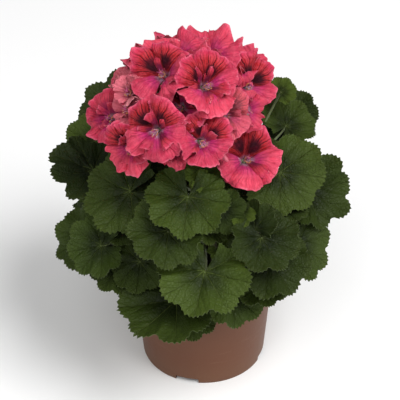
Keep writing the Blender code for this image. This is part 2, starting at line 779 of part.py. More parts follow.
def boolean_all(obj, pieces, operation):
    """One Boolean of obj with every piece, applied, and the pieces removed."""
    extra = bpy.data.collections.new(obj.name + "_pieces")
    bpy.context.scene.collection.children.link(extra)
    for k, piece in enumerate(pieces):
        mesh_object(f"{obj.name}_piece_{k}", piece, extra)
    modifier = obj.modifiers.new("join", "BOOLEAN")
    modifier.operation = operation
    modifier.operand_type = "COLLECTION"
    modifier.collection = extra
    modifier.solver = "EXACT"
    apply_modifiers(obj)
    drop_crumbs(obj.data)
    for piece in list(extra.objects):
        bpy.data.objects.remove(piece, do_unlink=True)
    bpy.data.collections.remove(extra)


def shade_round(obj, degrees):
    obj.data.shade_smooth()
    obj.data.set_sharp_from_angle(angle=math.radians(degrees))


def finish(obj, name, colour, roughness, degrees=40):
    obj.data.name = name
    obj.data.materials.clear()
    obj.data.materials.append(material(name, colour, roughness))
    shade_round(obj, degrees)


def revolve(profile, sides):
    """Solid of revolution from a closed loop of (radius, height), whose ends lie on the axis."""
    points = []
    faces = []
    rings = []
    for radius, height in profile:
        if radius == 0:
            rings.append([len(points)] * sides)
            points.append(Vector((0, 0, height)))
            continue
        rings.append([len(points) + s for s in range(sides)])
        for s in range(sides):
            angle = 2 * math.pi * s / sides
            points.append(Vector((radius * math.cos(angle), radius * math.sin(angle), height)))
    for lower, upper in zip(rings, rings[1:]):
        for s in range(sides):
            t = (s + 1) % sides
            face = [lower[s], lower[t], upper[t], upper[s]]
            kept = [v for i, v in enumerate(face) if v not in face[:i]]
            if len(kept) > 2:
                faces.append(tuple(kept))
    return points, faces


def upright_cylinder(x, y, low, high, radius, sides):
    return tube([Vector((x, y, low)), Vector((x, y, high))], [radius, radius], sides)


def notch_cutter(azimuth):
    """Block that cuts one notch into the foot ring."""
    direction = unit_polar(azimuth, 90)
    inner = POT_FOOT_RADIUS - 9 * MM
    outer = POT_FOOT_RADIUS + 9 * MM
    points = [
        direction * inner + Vector((0, 0, NOTCH_HEIGHT / 2 - 2 * MM)),
        direction * outer + Vector((0, 0, NOTCH_HEIGHT / 2 - 2 * MM)),
    ]
    side = Vector((-direction.y, direction.x, 0))
    corners = []
    for point in points:
        for along, up in ((-1, -1), (1, -1), (1, 1), (-1, 1)):
            height = (NOTCH_HEIGHT / 2 + 2 * MM) * up
            corners.append(point + side * along * NOTCH_WIDTH / 2 + Vector((0, 0, height)))
    faces = [(0, 3, 2, 1), (4, 5, 6, 7)]
    faces += [(k, (k + 1) % 4, 4 + (k + 1) % 4, 4 + k) for k in range(4)]
    return corners, faces


def wall_radius(height):
    share = height / POT_HEIGHT
    return POT_FOOT_RADIUS + (POT_RIM_RADIUS - POT_FOOT_RADIUS) * share


def make_pot():
    """Tapered pot with a plain lip, a notched foot ring and a drained recess under its floor."""
    lip_foot = POT_HEIGHT - LIP_HEIGHT
    profile = [
        (0, 0),
        (POT_PAD_RADIUS, 0),
        (POT_PAD_RADIUS + 2 * MM, POT_RECESS),
        (POT_FOOT_RADIUS - 6 * MM, POT_RECESS),
        (POT_FOOT_RADIUS - 4.5 * MM, 0),
        (POT_FOOT_RADIUS, 0),
        (wall_radius(lip_foot), lip_foot),
        (wall_radius(lip_foot) + LIP_OUT, lip_foot + 0.8 * MM),
        (POT_RIM_RADIUS + LIP_OUT, POT_HEIGHT - 0.6 * MM),
        (POT_RIM_RADIUS + LIP_OUT - 0.7 * MM, POT_HEIGHT),
        (POT_RIM_RADIUS - POT_WALL, POT_HEIGHT),
        (wall_radius(POT_FLOOR) - POT_WALL, POT_FLOOR),
        (0, POT_FLOOR),
    ]
    obj = mesh_object("pot", revolve(profile, POT_SIDES))
    cutters = [notch_cutter(azimuth) for azimuth in NOTCH_AZIMUTHS]
    for k in range(DRAIN_COUNT):
        angle = math.radians(30 + 360 * k / DRAIN_COUNT)
        x, y = DRAIN_RING * math.cos(angle), DRAIN_RING * math.sin(angle)
        cutters.append(upright_cylinder(x, y, -1 * MM, POT_FLOOR + 2 * MM, DRAIN_RADIUS, 8))
    boolean_all(obj, cutters, "DIFFERENCE")
    finish(obj, "pot", (0.141, 0.063, 0.038), 0.55)


def make_soil(shoots):
    """Soil that fills the pot, with a loose uneven top and a plain hole for each stem."""
    inset = CLEARANCE + wall_radius(SOIL_TOP) * (1 - math.cos(math.pi / POT_SIDES))
    foot = wall_radius(POT_FLOOR) - POT_WALL - inset - 0.2 * MM
    edge = wall_radius(SOIL_TOP) - POT_WALL - inset - 0.2 * MM
    low = POT_FLOOR + CLEARANCE
    profile = [(0, low), (foot, low), (edge, SOIL_TOP - 2 * MM)]
    profile += [(edge * share, SOIL_TOP) for share in (0.84, 0.5)]
    profile += [(0, SOIL_TOP)]
    points, faces = revolve(profile, POT_SIDES)
    draw = random.Random(SOIL_SEED)
    for point in points:
        out = math.hypot(point.x, point.y)
        if point.z == SOIL_TOP:
            rise = SOIL_MOUND * (1 - (out / edge) ** 2)
            point.z += rise + draw.uniform(-1.0, 1.0) * MM
    obj = mesh_object("soil", (points, faces))
    holes = []
    for shoot in shoots:
        foot = stem_point(shoot, 0)
        low = foot.z - STEM_DEPTH
        holes.append(
            upright_cylinder(
                foot.x, foot.y, low, foot.z + 12 * MM, STEM_RADIUS + 0.7 * MM, 8
            )
        )
    boolean_all(obj, holes, "DIFFERENCE")
    finish(obj, "soil", (0.030, 0.020, 0.013), 0.95, 80)


def make_bloom(number, bloom, planes):
    name = f"bloom_{number + 1}"
    piece = corolla(bloom, number, planes)
    obj = mesh_object(name, piece)
    draw = random.Random(300 + number)
    shade = draw.uniform(0.9, 1.05)
    finish(obj, name, (0.60 * shade, 0.065 * shade, 0.105 * shade), 0.5, 60)
    return piece


def make_shoot(shoot, pieces):
    name = f"shoot_{shoot.number}"
    obj = mesh_object(name, stem_tube(shoot))
    boolean_all(obj, pieces, "UNION")
    draw = random.Random(600 + shoot.number)
    shade = draw.uniform(0.9, 1.1)
    finish(obj, name, (0.056 * shade, 0.086 * shade, 0.024 * shade), 0.6, 50)


def build():
    clear_scene()
    blooms = plan_blooms()
    shoots = plan_shoots()
    cells = bloom_cells(blooms)
    crown = Crown()
    pieces = {shoot.number: [] for shoot in shoots}
    make_pot()
    make_soil(shoots)
    for number, bloom in enumerate(blooms):
        crown.add(make_bloom(number, bloom, cells[number]), ("bloom", number))
    carriers = [shoot for shoot in shoots if shoot.umbel]
    for shoot in shoots:
        crown.add(stem_tube(shoot), ("stem", shoot.number))
        if shoot.umbel:
            pieces[shoot.number].append(stalk_tube(shoot))
    for bloom in blooms:
        foot = bloom[0] - bloom[1] * BLOOM_DEPTH
        shoot = min(carriers, key=lambda s: (s.umbel - foot).length)
        path = pedicel_path(shoot.umbel, bloom)
        pieces[shoot.number].append(pedicel_tube(path, bloom[1]))
    for number, made in pieces.items():
        for piece in made:
            crown.add(piece, ("stalk", number))
    pot = bpy.data.objects["pot"].data
    crown.add(
        ([v.co.copy() for v in pot.vertices], [tuple(p.vertices) for p in pot.polygons]),
        ("pot", 0),
    )
    for leaf in plan_leaves():
        grown = grow_leaf(leaf, shoots, crown)
        if grown:
            pieces[grown[0]] += grown[1]
    for shoot in shoots:
        make_shoot(shoot, pieces[shoot.number])


build()
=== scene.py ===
import json
import math
import random
from collections import namedtuple

import bmesh
import bpy
import numpy as np
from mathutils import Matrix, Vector
from mathutils.kdtree import KDTree

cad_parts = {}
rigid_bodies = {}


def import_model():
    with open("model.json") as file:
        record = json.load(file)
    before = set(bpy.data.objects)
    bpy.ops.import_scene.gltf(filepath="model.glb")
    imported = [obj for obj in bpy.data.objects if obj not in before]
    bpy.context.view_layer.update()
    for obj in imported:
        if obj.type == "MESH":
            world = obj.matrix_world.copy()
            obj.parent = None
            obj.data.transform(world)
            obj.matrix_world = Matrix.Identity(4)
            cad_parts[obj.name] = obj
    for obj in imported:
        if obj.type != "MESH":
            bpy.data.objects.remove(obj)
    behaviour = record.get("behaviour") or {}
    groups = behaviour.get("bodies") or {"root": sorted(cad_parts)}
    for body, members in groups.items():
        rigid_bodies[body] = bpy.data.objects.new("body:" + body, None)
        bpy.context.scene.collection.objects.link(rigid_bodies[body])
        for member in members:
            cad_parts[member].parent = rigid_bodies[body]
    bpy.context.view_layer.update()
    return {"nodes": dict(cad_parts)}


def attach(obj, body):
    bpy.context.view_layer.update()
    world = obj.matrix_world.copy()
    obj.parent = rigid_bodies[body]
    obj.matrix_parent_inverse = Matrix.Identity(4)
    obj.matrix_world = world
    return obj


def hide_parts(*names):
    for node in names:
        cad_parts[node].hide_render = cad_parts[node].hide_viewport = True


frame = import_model()

# Looks of a regal pelargonium in its nursery pot: waved and toothed leaves, ruffled blooms
# with blotched upper petals, hairy stalks, a turned plastic pot and loose soil.
# Each leaf and bloom is set where its solid stands. Metres, +Z up, front toward -Y.

MM = 0.001

# The photograph's viewpoint, 1.5 m off and 37 degrees up, and its 400-wide picture.
VIEWPOINT = Vector((-0.0033, -1.200, 1.071))
VIEW_TARGET = Vector((-0.0033, 0.0, 0.1707))
PICTURE_MIDDLE = 200
PICTURE_FOCAL = 1667.6
LENS = 150.09
SENSOR_WIDTH = 36
CLIP_START = 0.05
VIEW_FORWARD = (VIEW_TARGET - VIEWPOINT).normalized()
VIEW_RIGHT = Vector((1, 0, 0))
VIEW_UP = VIEW_RIGHT.cross(VIEW_FORWARD)

# Studio: where its lights aim and how far its floor reaches
LIGHT_AIM = Vector((0, 0, 0.2))
FLOOR_REACH = 6

# Pot and soil, as the solids have them
POT_FOOT_RADIUS = 57.5 * MM
POT_RIM_RADIUS = 66.0 * MM
POT_HEIGHT = 110 * MM
POT_WALL = 1.6 * MM
POT_FLOOR = 5.0 * MM
POT_RECESS = 3.0 * MM
POT_PAD_RADIUS = 20 * MM
LIP_HEIGHT = 9 * MM
LIP_OUT = 1.6 * MM
NOTCH_HEIGHT = 5 * MM
NOTCH_WIDTH = 22 * MM
NOTCH_AZIMUTHS = (-105.7, -15.7, 74.3, 164.3)
DRAIN_RADIUS = 3.5 * MM
DRAIN_RING = 40 * MM
DRAIN_HOLES = 4
FIRST_DRAIN = 30
SOIL_TOP = 97 * MM
SOIL_MOUND = 3 * MM
STEM_DEPTH = 26 * MM

# Shoots and stalks, as the solids have them. A stem's stance is how far out it stands and ends.
INNER_SHOOTS = 5
INNER_AZIMUTH = -126
INNER_STANCE = (16 * MM, 34 * MM)
INNER_HEIGHT = 205 * MM
OUTER_SHOOTS = 6
OUTER_AZIMUTH = -90
OUTER_STANCE = (35 * MM, 66 * MM)
OUTER_HEIGHTS = (168 * MM, 178 * MM)
# Millimetres that an umbel lies out from the head's middle and below it
UMBEL_OUT = 25
UMBEL_BELOW = 14
STEM_RADIUS = 3.6 * MM
STALK_RADIUS = 1.9 * MM
PEDICEL_RADIUS = 0.95 * MM
PETIOLE_RADIUS = 1.15 * MM

# Leaves, as the solids have them: degrees between main veins and from the tip to the notch at
# the petiole, and the ring of points half-way out on a coarse blade
SOLID_BLADE = 0.8 * MM
LOBE_STEP = 43.0
SINUS_ANGLE = 166.0
RING_SHARE = 0.55
RING_POINTS = 6
RING_STEP = 300.0 / (RING_POINTS - 1)
# One of a coarse blade's points on its edge, compared first, and how near it has to come
EDGE_POINT = 9
EDGE_NEAR = 2 * MM
# So many leaves, the first ones, have three edge points to a lobe, and the others two
FULL_EDGES = 23
# Poses that are tried for each leaf, and for its petiole the nearest stems and the shares of
# their height
LEAF_CANDIDATES = 64
PETIOLE_STEMS = 5
PETIOLE_HEIGHTS = (0.86, 0.68, 0.50, 0.32, 0.16)
# The dome on which the crown's leaves lie
CROWN_CENTRE = Vector((-5, 0, 150)) * MM
CROWN_REACH = Vector((112, 102, 98)) * MM

# Blooms, as the solids have them, on the sphere of the flower head
HEAD_CENTRE = Vector((-20, -15, 272)) * MM
HEAD_RADIUS = 66 * MM
BACK_BLOOMS = 8
# Directions tried for a bloom at the back, and how far down the sphere they go, in radii
HEAD_DIRECTIONS = 160
HEAD_DEPTH = 1.12
BLOOM_DEPTH = 12 * MM
CLAW_START = 2.2 * MM
CLAW_HALF = 1.5 * MM

# Small parts that only the scene has
BUDS_PER_UMBEL = 6
SEPALS = 5
STAMENS = 7
STYLE_ARMS = 5
YOUNG_PER_SHOOT = 7
YOUNG_TRIES = 12
YOUNG_GAP = 7 * MM

# Fine surfaces
BLADE_THICKNESS = 0.35 * MM
PETAL_THICKNESS = 0.25 * MM
SEPAL_THICKNESS = 0.3 * MM
SEPAL_REACH = 11 * MM
TEETH_PER_LOBE = 8
YOUNG_TEETH = 5
BLADE_ROWS = (0.05, 0.13, 0.23, 0.34, 0.45, 0.56, 0.67, 0.77, 0.86, 0.935, 1.0)
YOUNG_ROWS = (0.10, 0.26, 0.45, 0.64, 0.80, 0.92, 1.0)
# Furrows beside each main vein: angle from the vein, start, depth and width
FURROWS = ((11.5, 0.22, 0.055, 3.4), (5.5, 0.50, 0.050, 2.2), (17.5, 0.50, 0.050, 2.2))
# A blade's flat map spans so many of its radii
FLAT_SPAN = 2.4
# Rows and columns of points on a petal and on an extra one
PETAL_GRID = (15, 33)
PETALOID_GRID = (11, 21)
# Waves across a petal's frilled edge
FRILL_PACES = (5, 7.5, 11, 16, 23)
# How far a bloom's petals reach past their cell, over and under its neighbours, and the last
# stretch of that in which they bend
OVER_REACH = 14 * MM
UNDER_REACH = 11 * MM
SOFT_REACH = 5 * MM
# The light tint of petals, in patches
PATCH_PINK = (0.84, 0.15, 0.22)

# Seeds of chance: three single ones, and where those of each numbered piece start
BACK_BLOOMS_SEED = 46
LEAF_ROWS_SEED = 77
SOIL_SEED = 5
TONE_SEEDS = 70
BLOOM_SEEDS = 800
STAMEN_SEEDS = 1200
BUD_SEEDS = 2000
BLADE_SEEDS = 5000
SWELL_SEEDS = 7000
PETAL_SEEDS = 9000

Leaf = namedtuple("Leaf", "number junction sight size normal tip")
Shoot = namedtuple("Shoot", "number azimuth base_out top_out top_height umbel")
Bloom = namedtuple("Bloom", "middle axis up radius openness")

# Blooms in the photograph: place in the picture, millimetres behind the head's sphere, radius
# in millimetres, facing (right, up, toward the viewer), angle of its top and openness
SEEN_BLOOMS = (
    ((154, 130), 0, 30, (-0.32, -0.03, 0.94), 96, 1.0),
    ((207, 84), 0, 31, (0.36, 0.26, 0.90), 116, 1.0),
    ((248, 157), -2, 32, (0.30, 0.30, 0.90), 90, 1.0),
    ((204, 141), 3, 26, (0.32, 0.02, 0.94), 80, 0.95),
    ((128, 148), 2, 25, (-0.45, -0.35, 0.80), 105, 0.95),
    ((161, 72), 2, 29, (-0.35, 0.36, 0.86), 104, 1.0),
    ((108, 117), 2, 26, (-0.60, 0.05, 0.75), 140, 0.9),
    ((250, 84), 3, 28, (0.52, 0.08, 0.84), 72, 1.0),
    ((250, 111), 7, 21, (0.60, -0.15, 0.78), 60, 0.9),
    ((175, 150), 7, 20, (-0.05, -0.45, 0.85), 90, 0.85),
    ((128, 90), 2, 17, (-0.45, 0.30, 0.82), 90, 0.5),
    ((177, 58), 12, 31, (-0.12, 0.45, 0.88), 96, 1.0),
    ((208, 54), 18, 31, (0.05, 0.50, 0.86), 88, 0.95),
    ((233, 64), 12, 30, (0.25, 0.42, 0.87), 74, 1.0),
    ((181, 106), 12, 26, (-0.05, 0.10, 1.00), 60, 0.9),
    ((155, 59), 12, 20, (-0.40, 0.50, 0.75), 105, 0.9),
    ((227, 113), 12, 26, (0.25, 0.05, 0.95), 70, 0.9),
    ((126, 108), 5, 16, (-0.50, 0.30, 0.80), 100, 0.9),
    ((252, 68), 14, 23, (0.60, 0.42, 0.65), 70, 0.9),
    ((142, 80), 54, 24, (-0.60, 0.40, 0.60), 95, 0.85),
)

# Leaves in the photograph: place of the petiole's end, millimetres behind the crown's dome,
# radius in millimetres, facing and the angle in the picture at which the tip points
SEEN_LEAVES = (
    ((205, 272), -4, 41, (-0.05, 0.35, 0.93), 255),
    ((176, 300), 6, 51, (-0.12, 0.55, 0.82), 188),
    ((262, 238), 0, 35, (0.10, 0.35, 0.90), 300),
    ((281, 172), 0, 39, (0.10, 0.10, 1.00), 310),
    ((188, 197), 0, 39, (0.00, 0.35, 0.93), 262),
    ((130, 192), 0, 44, (-0.20, 0.38, 0.90), 195),
    ((168, 232), 4, 35, (-0.10, 0.30, 0.95), 222),
    ((101, 246), 2, 30, (-0.15, 0.20, 0.95), 190),
    ((97, 143), 4, 33, (-0.30, 0.30, 0.90), 155),
    ((93, 171), 6, 42, (-0.05, 0.90, 0.42), 194),
    ((308, 191), 6, 39, (0.30, 0.05, 0.95), 12),
    ((297, 244), 6, 35, (0.40, 0.15, 0.90), 15),
    ((269, 260), 8, 36, (0.20, 0.32, 0.90), 305),
    ((260, 280), 12, 27, (0.10, 0.30, 0.90), 285),
    ((232, 292), 10, 33, (0.25, 0.10, 0.95), 275),
    ((190, 310), 14, 27, (0.15, 0.10, 1.00), 320),
    ((85, 238), 12, 31, (-0.40, 0.20, 0.90), 165),
    ((118, 268), 12, 27, (-0.10, 0.25, 0.95), 235),
    ((286, 126), 6, 29, (0.20, 0.45, 0.85), 55),
    ((288, 117), 16, 32, (0.45, 0.30, 0.80), 48),
    ((120, 112), 30, 39, (-0.20, 0.20, 0.95), 140),
    ((255, 230), 14, 28, (-0.25, 0.40, 0.85), 130),
    ((204, 222), 12, 26, (0.20, 0.30, 0.92), 315),
    ((204, 173), 8, 20, (0.10, 0.40, 0.90), 285),
    ((240, 196), 16, 24, (0.10, 0.40, 0.90), 275),
    ((268, 102), 10, 21, (0.05, 0.50, 0.85), 25),
    ((286, 210), 22, 22, (0.20, 0.60, 0.78), 300),
    ((140, 262), 16, 30, (-0.10, 0.30, 0.95), 220),
    ((126, 228), 30, 25, (0.00, 0.50, 0.85), 200),
    ((222, 210), 24, 24, (0.10, 0.40, 0.90), 330),
    ((248, 262), 34, 24, (0.10, 0.35, 0.92), 275),
    ((184, 178), 60, 26, (0.00, 0.75, 0.65), 90),
    ((145, 168), 34, 30, (-0.20, 0.50, 0.83), 240),
    ((222, 190), 60, 26, (0.10, 0.75, 0.65), 80),
    ((277, 134), 22, 25, (0.15, 0.40, 0.90), 320),
)
# How fresh and light the leaves are, where one differs from the usual
USUAL_FRESH = 0.2
YOUNG_FRESH = 0.95
FRESH_LEAVES = {
    0: 0.32, 1: 0.22, 3: 0.45, 5: 0.30, 7: 0.05, 8: 0.5, 9: 0.1, 10: 0.25, 11: 0.30, 13: 0.35,
    15: 0.35, 16: 0.15, 17: 0.35, 18: 0.45, 22: 0.4, 23: 0.75, 24: 0.75, 25: 0.8, 27: 0.3,
}

# Small leaves between the grown ones, in the same terms. Young leaves count from YOUNG_FROM.
YOUNG_FROM = 90
SEEN_YOUNG = (
    ((266, 127), 30, 19, (0.15, 0.45, 0.85), 330),
    ((186, 158), 40, 15, (0.00, 0.60, 0.80), 270),
    ((208, 181), 2, 15, (0.05, 0.45, 0.88), 250),
    ((243, 214), 6, 13, (-0.20, 0.50, 0.85), 235),
    ((281, 92), -8, 15, (0.10, 0.25, 0.95), 60),
    ((262, 113), 22, 16, (0.10, 0.45, 0.88), 20),
)

# Tiers of leaves round the sides and back: height and distance out in millimetres, how many,
# first and last azimuth, lean and radius in millimetres
LEAF_ROWS = (
    (126, 98, 6, -4, 180, 62, 35),
    (163, 108, 5, 20, 166, 50, 37),
    (200, 98, 4, 34, 146, 38, 36),
    (228, 76, 3, 30, 150, 28, 34),
    (214, 50, 3, 10, 190, 22, 29),
    (148, 84, 2, -30, 205, 50, 26),
)

# Petals: azimuth from the bloom's top, length, half width, widening and tilt
PETALS = (
    (37, 1.06, 0.68, 0.69, 0.14),
    (109, 1.00, 0.64, 0.66, 0.15),
    (181, 1.00, 0.64, 0.66, 0.12),
    (253, 1.00, 0.64, 0.66, 0.15),
    (323, 1.06, 0.68, 0.69, 0.14),
)
UPPER_PETALS = (0, 4)
# The scene's petals are wider than the solid ones
PETAL_BROADER = 1.14
PETAL_OPENER = 1.5
# Petaloids, the extra petals in a full bloom's middle: the same, and how much steeper one
# stands than a petal. A bloom has the first few of them.
PETALOIDS = (
    (222, 0.74, 0.42, 0.62, -0.3, 22),
    (10, 0.60, 0.34, 0.60, 0.3, 38),
    (145, 0.66, 0.36, 0.60, 0.3, 30),
    (300, 0.55, 0.28, 0.55, 0.4, 42),
    (75, 0.50, 0.26, 0.55, -0.4, 48),
    (180, 0.62, 0.42, 0.62, 0.2, 34),
    (40, 0.50, 0.36, 0.60, -0.3, 55),
    (255, 0.48, 0.32, 0.60, 0.3, 60),
)
# How many of them each seen bloom has
EXTRA_PETALS = (5, 5, 1, 4, 4, 2, 6, 3, 3, 4, 2, 8, 8, 8, 4, 4, 4, 3, 6, 3)
# How strong the blotches are, where a bloom's differ from 1
FAINT_BLOTCHES = {
    6: 0.45, 8: 0.0, 10: 0.1, 11: 0.15, 12: 0.1, 13: 0.15, 15: 0.4, 17: 0.1, 18: 0.35, 19: 0.2,
}
BACK_BLOTCHES = 0.5
# How long single petals are, where one differs from its kind: bloom and petal
SHORT_PETALS = {
    (11, 0): 0.92, (12, 4): 0.94, (13, 0): 0.92, (13, 3): 0.93, (13, 4): 0.70,
    (19, 0): 0.75, (19, 1): 0.75,
}
# Blooms that are only opening, or fading, and so are pale on both sides
PALE_BLOOMS = {10: 0.85, 16: 0.35, 17: 0.7}


# Where each leaf, shoot and bloom of the solid plant is


def sight(place):
    """Unit vector from the viewpoint through a place in the picture."""
    across, down = place
    aim = (
        VIEW_FORWARD * PICTURE_FOCAL
        + VIEW_RIGHT * (across - PICTURE_MIDDLE)
        + VIEW_UP * (PICTURE_MIDDLE - down)
    )
    return aim.normalized()


def facing_vector(facing):
    """Unit vector from its shares to the right, up and toward the viewer."""
    right, up, toward = facing
    return (VIEW_RIGHT * right + VIEW_UP * up - VIEW_FORWARD * toward).normalized()


def turned_in_view(normal, degrees):
    """The direction square to normal that points along an angle of the picture."""
    angle = math.radians(degrees)
    wanted = VIEW_RIGHT * math.cos(angle) + VIEW_UP * math.sin(angle)
    toward = -VIEW_FORWARD
    slope = max(normal.dot(toward), 0.25)
    along = wanted - toward * (wanted.dot(normal) / slope)
    return (along - normal * along.dot(normal)).normalized()


def meet_dome(place, centre, reach):
    """Where a line of sight meets an ellipsoid, or passes nearest to it."""
    aim = sight(place)
    start = [(VIEWPOINT[i] - centre[i]) / reach[i] for i in range(3)]
    step = [aim[i] / reach[i] for i in range(3)]
    a = sum(s * s for s in step)
    b = sum(s * t for s, t in zip(start, step))
    c = sum(s * s for s in start) - 1
    inside = max(b * b - a * c, 0.0)
    return VIEWPOINT + aim * ((-b - math.sqrt(inside)) / a)


def unit_polar(azimuth, lean):
    """Unit vector at an azimuth, leaning so far from upright, in degrees."""
    a, b = math.radians(azimuth), math.radians(lean)
    return Vector((math.sin(b) * math.cos(a), math.sin(b) * math.sin(a), math.cos(b)))


def plan_blooms():
    """Every bloom: those seen, and more round the back of the head."""
    reach = Vector((1, 1, 1)) * HEAD_RADIUS
    blooms = []
    for place, deep, size, facing, up_angle, openness in SEEN_BLOOMS:
        middle = meet_dome(place, HEAD_CENTRE, reach) + sight(place) * deep * MM
        axis = facing_vector(facing)
        blooms.append(Bloom(middle, axis, turned_in_view(axis, up_angle), size * MM, openness))
    draw = random.Random(BACK_BLOOMS_SEED)
    for _ in range(BACK_BLOOMS):
        outward = emptiest_direction([bloom.middle for bloom in blooms])
        tilt = Vector([draw.uniform(-0.2, 0.2) for _ in range(3)])
        axis = (outward + tilt + Vector((0, 0, 0.2))).normalized()
        up = (Vector((0, 0, 1)) - axis * axis.z).normalized()
        swing = draw.uniform(-0.5, 0.5)
        up = (up * math.cos(swing) + axis.cross(up) * math.sin(swing)).normalized()
        middle = HEAD_CENTRE + outward * (HEAD_RADIUS - draw.uniform(0, 6) * MM)
        radius = draw.uniform(27, 30) * MM
        blooms.append(Bloom(middle, axis, up, radius, draw.uniform(0.8, 1.0)))
    return blooms


def emptiest_direction(places):
    """The direction from the head's centre that lies farthest from some places."""
    best, best_gap = None, -1.0
    for k in range(HEAD_DIRECTIONS):
        height = 1 - HEAD_DEPTH * (k + 0.5) / HEAD_DIRECTIONS
        azimuth = math.degrees(k * math.pi * (3 - math.sqrt(5)))
        outward = unit_polar(azimuth, math.degrees(math.acos(height)))
        gap = min((HEAD_CENTRE + outward * HEAD_RADIUS - place).length for place in places)
        if gap > best_gap:
            best, best_gap = outward, gap
    return best


def plan_shoots():
    """Where each shoot stands and how it leans. The inner ones carry the umbels."""
    shoots = []
    for k in range(INNER_SHOOTS):
        azimuth = INNER_AZIMUTH + 360 * k / INNER_SHOOTS
        outward = unit_polar(azimuth, 90)
        umbel = HEAD_CENTRE + outward * UMBEL_OUT * MM - Vector((0, 0, UMBEL_BELOW * MM))
        shoots.append(Shoot(k + 1, azimuth, *INNER_STANCE, INNER_HEIGHT, umbel))
    for k in range(OUTER_SHOOTS):
        azimuth = OUTER_AZIMUTH + 360 * k / OUTER_SHOOTS
        number = INNER_SHOOTS + k + 1
        shoots.append(Shoot(number, azimuth, *OUTER_STANCE, OUTER_HEIGHTS[k % 2], None))
    return shoots


def stem_point(shoot, t):
    """A place on a shoot's stem, from 0 at the soil to 1 at its top."""
    out = shoot.base_out + (shoot.top_out - shoot.base_out) * t**1.6
    level = unit_polar(shoot.azimuth, 90) * out
    return level + Vector((0, 0, SOIL_TOP + (shoot.top_height - SOIL_TOP) * t))


def bezier(points, t):
    """A place on the cubic curve that four points steer."""
    a, b, c, d = points
    s = 1 - t
    return a * s**3 + b * (3 * s * s * t) + c * (3 * s * t * t) + d * t**3


def stalk_path(shoot):
    """The flower stalk's curve from the top of the stem to the umbel."""
    start = stem_point(shoot, 1)
    lean = (start - stem_point(shoot, 0.85)).normalized()
    reach = (shoot.umbel - start).length
    end = shoot.umbel
    return start, start + lean * reach * 0.4, end - Vector((0, 0, reach * 0.4)), end


def pedicel_path(umbel, bloom):
    """A pedicel's curve from the umbel to the back of a bloom."""
    end = bloom.middle - bloom.axis * (BLOOM_DEPTH + 3.4 * MM)
    reach = (end - umbel).length
    rise = (end - umbel).normalized() + Vector((0, 0, 0.25))
    return umbel, umbel + rise * reach * 0.35, end - bloom.axis * reach * 0.4, end


def seen_leaf(number, row):
    """A leaf at its place in the photograph."""
    place, deep, size, facing, tip_angle = row
    normal = facing_vector(facing)
    junction = meet_dome(place, CROWN_CENTRE, CROWN_REACH) + sight(place) * deep * MM
    tip = turned_in_view(normal, tip_angle)
    return Leaf(number, junction, sight(place), size * MM, normal, tip)


def tier_leaf(number, azimuth, height, out, lean, size, draw):
    """A leaf of a tier at the sides and back, set by chance about its place in the tier."""
    azimuth = azimuth + draw.uniform(-7, 7)
    level = out + draw.uniform(-6, 6)
    junction = unit_polar(azimuth, 90) * level * 0.86 * MM
    junction += Vector((CROWN_CENTRE.x, 0, (height + draw.uniform(-7, 7)) * MM))
    tilt = lean + draw.uniform(-12, 12)
    normal = unit_polar(azimuth + draw.uniform(-16, 16), tilt)
    down = unit_polar(azimuth, tilt + 90)
    tip = (down - normal * down.dot(normal)).normalized()
    side = normal.cross(tip)
    swing = math.radians(draw.uniform(-35, 35))
    tip = tip * math.cos(swing) + side * math.sin(swing)
    outward = unit_polar(azimuth, 90)
    reach = (size + draw.uniform(-4, 4)) * MM
    return Leaf(number, junction, -outward, reach, normal, tip)


def plan_leaves():
    """Every leaf's first pose, before it was moved clear of its neighbours."""
    leaves = [seen_leaf(number, row) for number, row in enumerate(SEEN_LEAVES)]
    draw = random.Random(LEAF_ROWS_SEED)
    for height, out, count, first, last, lean, size in LEAF_ROWS:
        for k in range(count):
            azimuth = first + (last - first) * k / (count - 1)
            leaves.append(tier_leaf(len(leaves), azimuth, height, out, lean, size, draw))
    return leaves


def leaf_candidate(leaf, k):
    """The k-th pose that a leaf may have been given to clear its neighbours."""
    if k == 0:
        return leaf
    draw = random.Random(1000 * leaf.number + k)
    spread = min(1.0, 0.15 + k / 24)
    along = draw.uniform(-20, 24) * spread * MM
    tilt = Vector([draw.uniform(-0.42, 0.42) * spread for _ in range(3)])
    normal = (leaf.normal + tilt).normalized()
    tip = (leaf.tip - normal * leaf.tip.dot(normal)).normalized()
    size = leaf.size * (1 - 0.12 * spread * draw.random())
    return leaf._replace(
        junction=leaf.junction + leaf.sight * along, normal=normal, tip=tip, size=size
    )


def petiole_end(leaf):
    """A place on the blade just inside its junction, where the solid petiole ends."""
    ring = np.array([0.0, 0.5, -0.5]) * RING_STEP
    centre, left, right = blade_points(leaf, np.array([0.0, RING_SHARE, RING_SHARE]), ring)
    return Vector(centre + ((left + right) / 2 - centre) * 0.2)


def petiole_path(leaf, shoots, route):
    """The shoot that bears a leaf by one of the routes to it, and the petiole's curve."""
    nearest = sorted(shoots, key=lambda s: (stem_point(s, 0.7) - leaf.junction).length)
    shoot = nearest[route % PETIOLE_STEMS]
    start = stem_point(shoot, PETIOLE_HEIGHTS[route // PETIOLE_STEMS])
    reach = (leaf.junction - start).length
    outward = leaf.junction - start
    outward.z = 0
    leave = (outward.normalized() * 0.8 + Vector((0, 0, 0.75))).normalized()
    arrive = (-leaf.normal * 0.62 - leaf.tip * 0.62).normalized()
    end = petiole_end(leaf)
    return shoot, (start, start + leave * reach * 0.36, end + arrive * reach * 0.36, end)


def blade_traits(leaf):
    """The chance shape of one blade."""
    draw = random.Random(BLADE_SEEDS + leaf.number)
    return {
        "lobe": draw.uniform(0.13, 0.19),
        "broad": draw.uniform(0.96, 1.08),
        "cup": draw.uniform(0.0, 0.22),
        "fold": draw.uniform(0.0, 0.16),
        "wave": draw.uniform(0.06, 0.13),
        "waves": draw.choice((3, 4, 5)),
        "phase": draw.uniform(0, 2 * math.pi),
        "droop": draw.uniform(0.0, 0.12),
    }


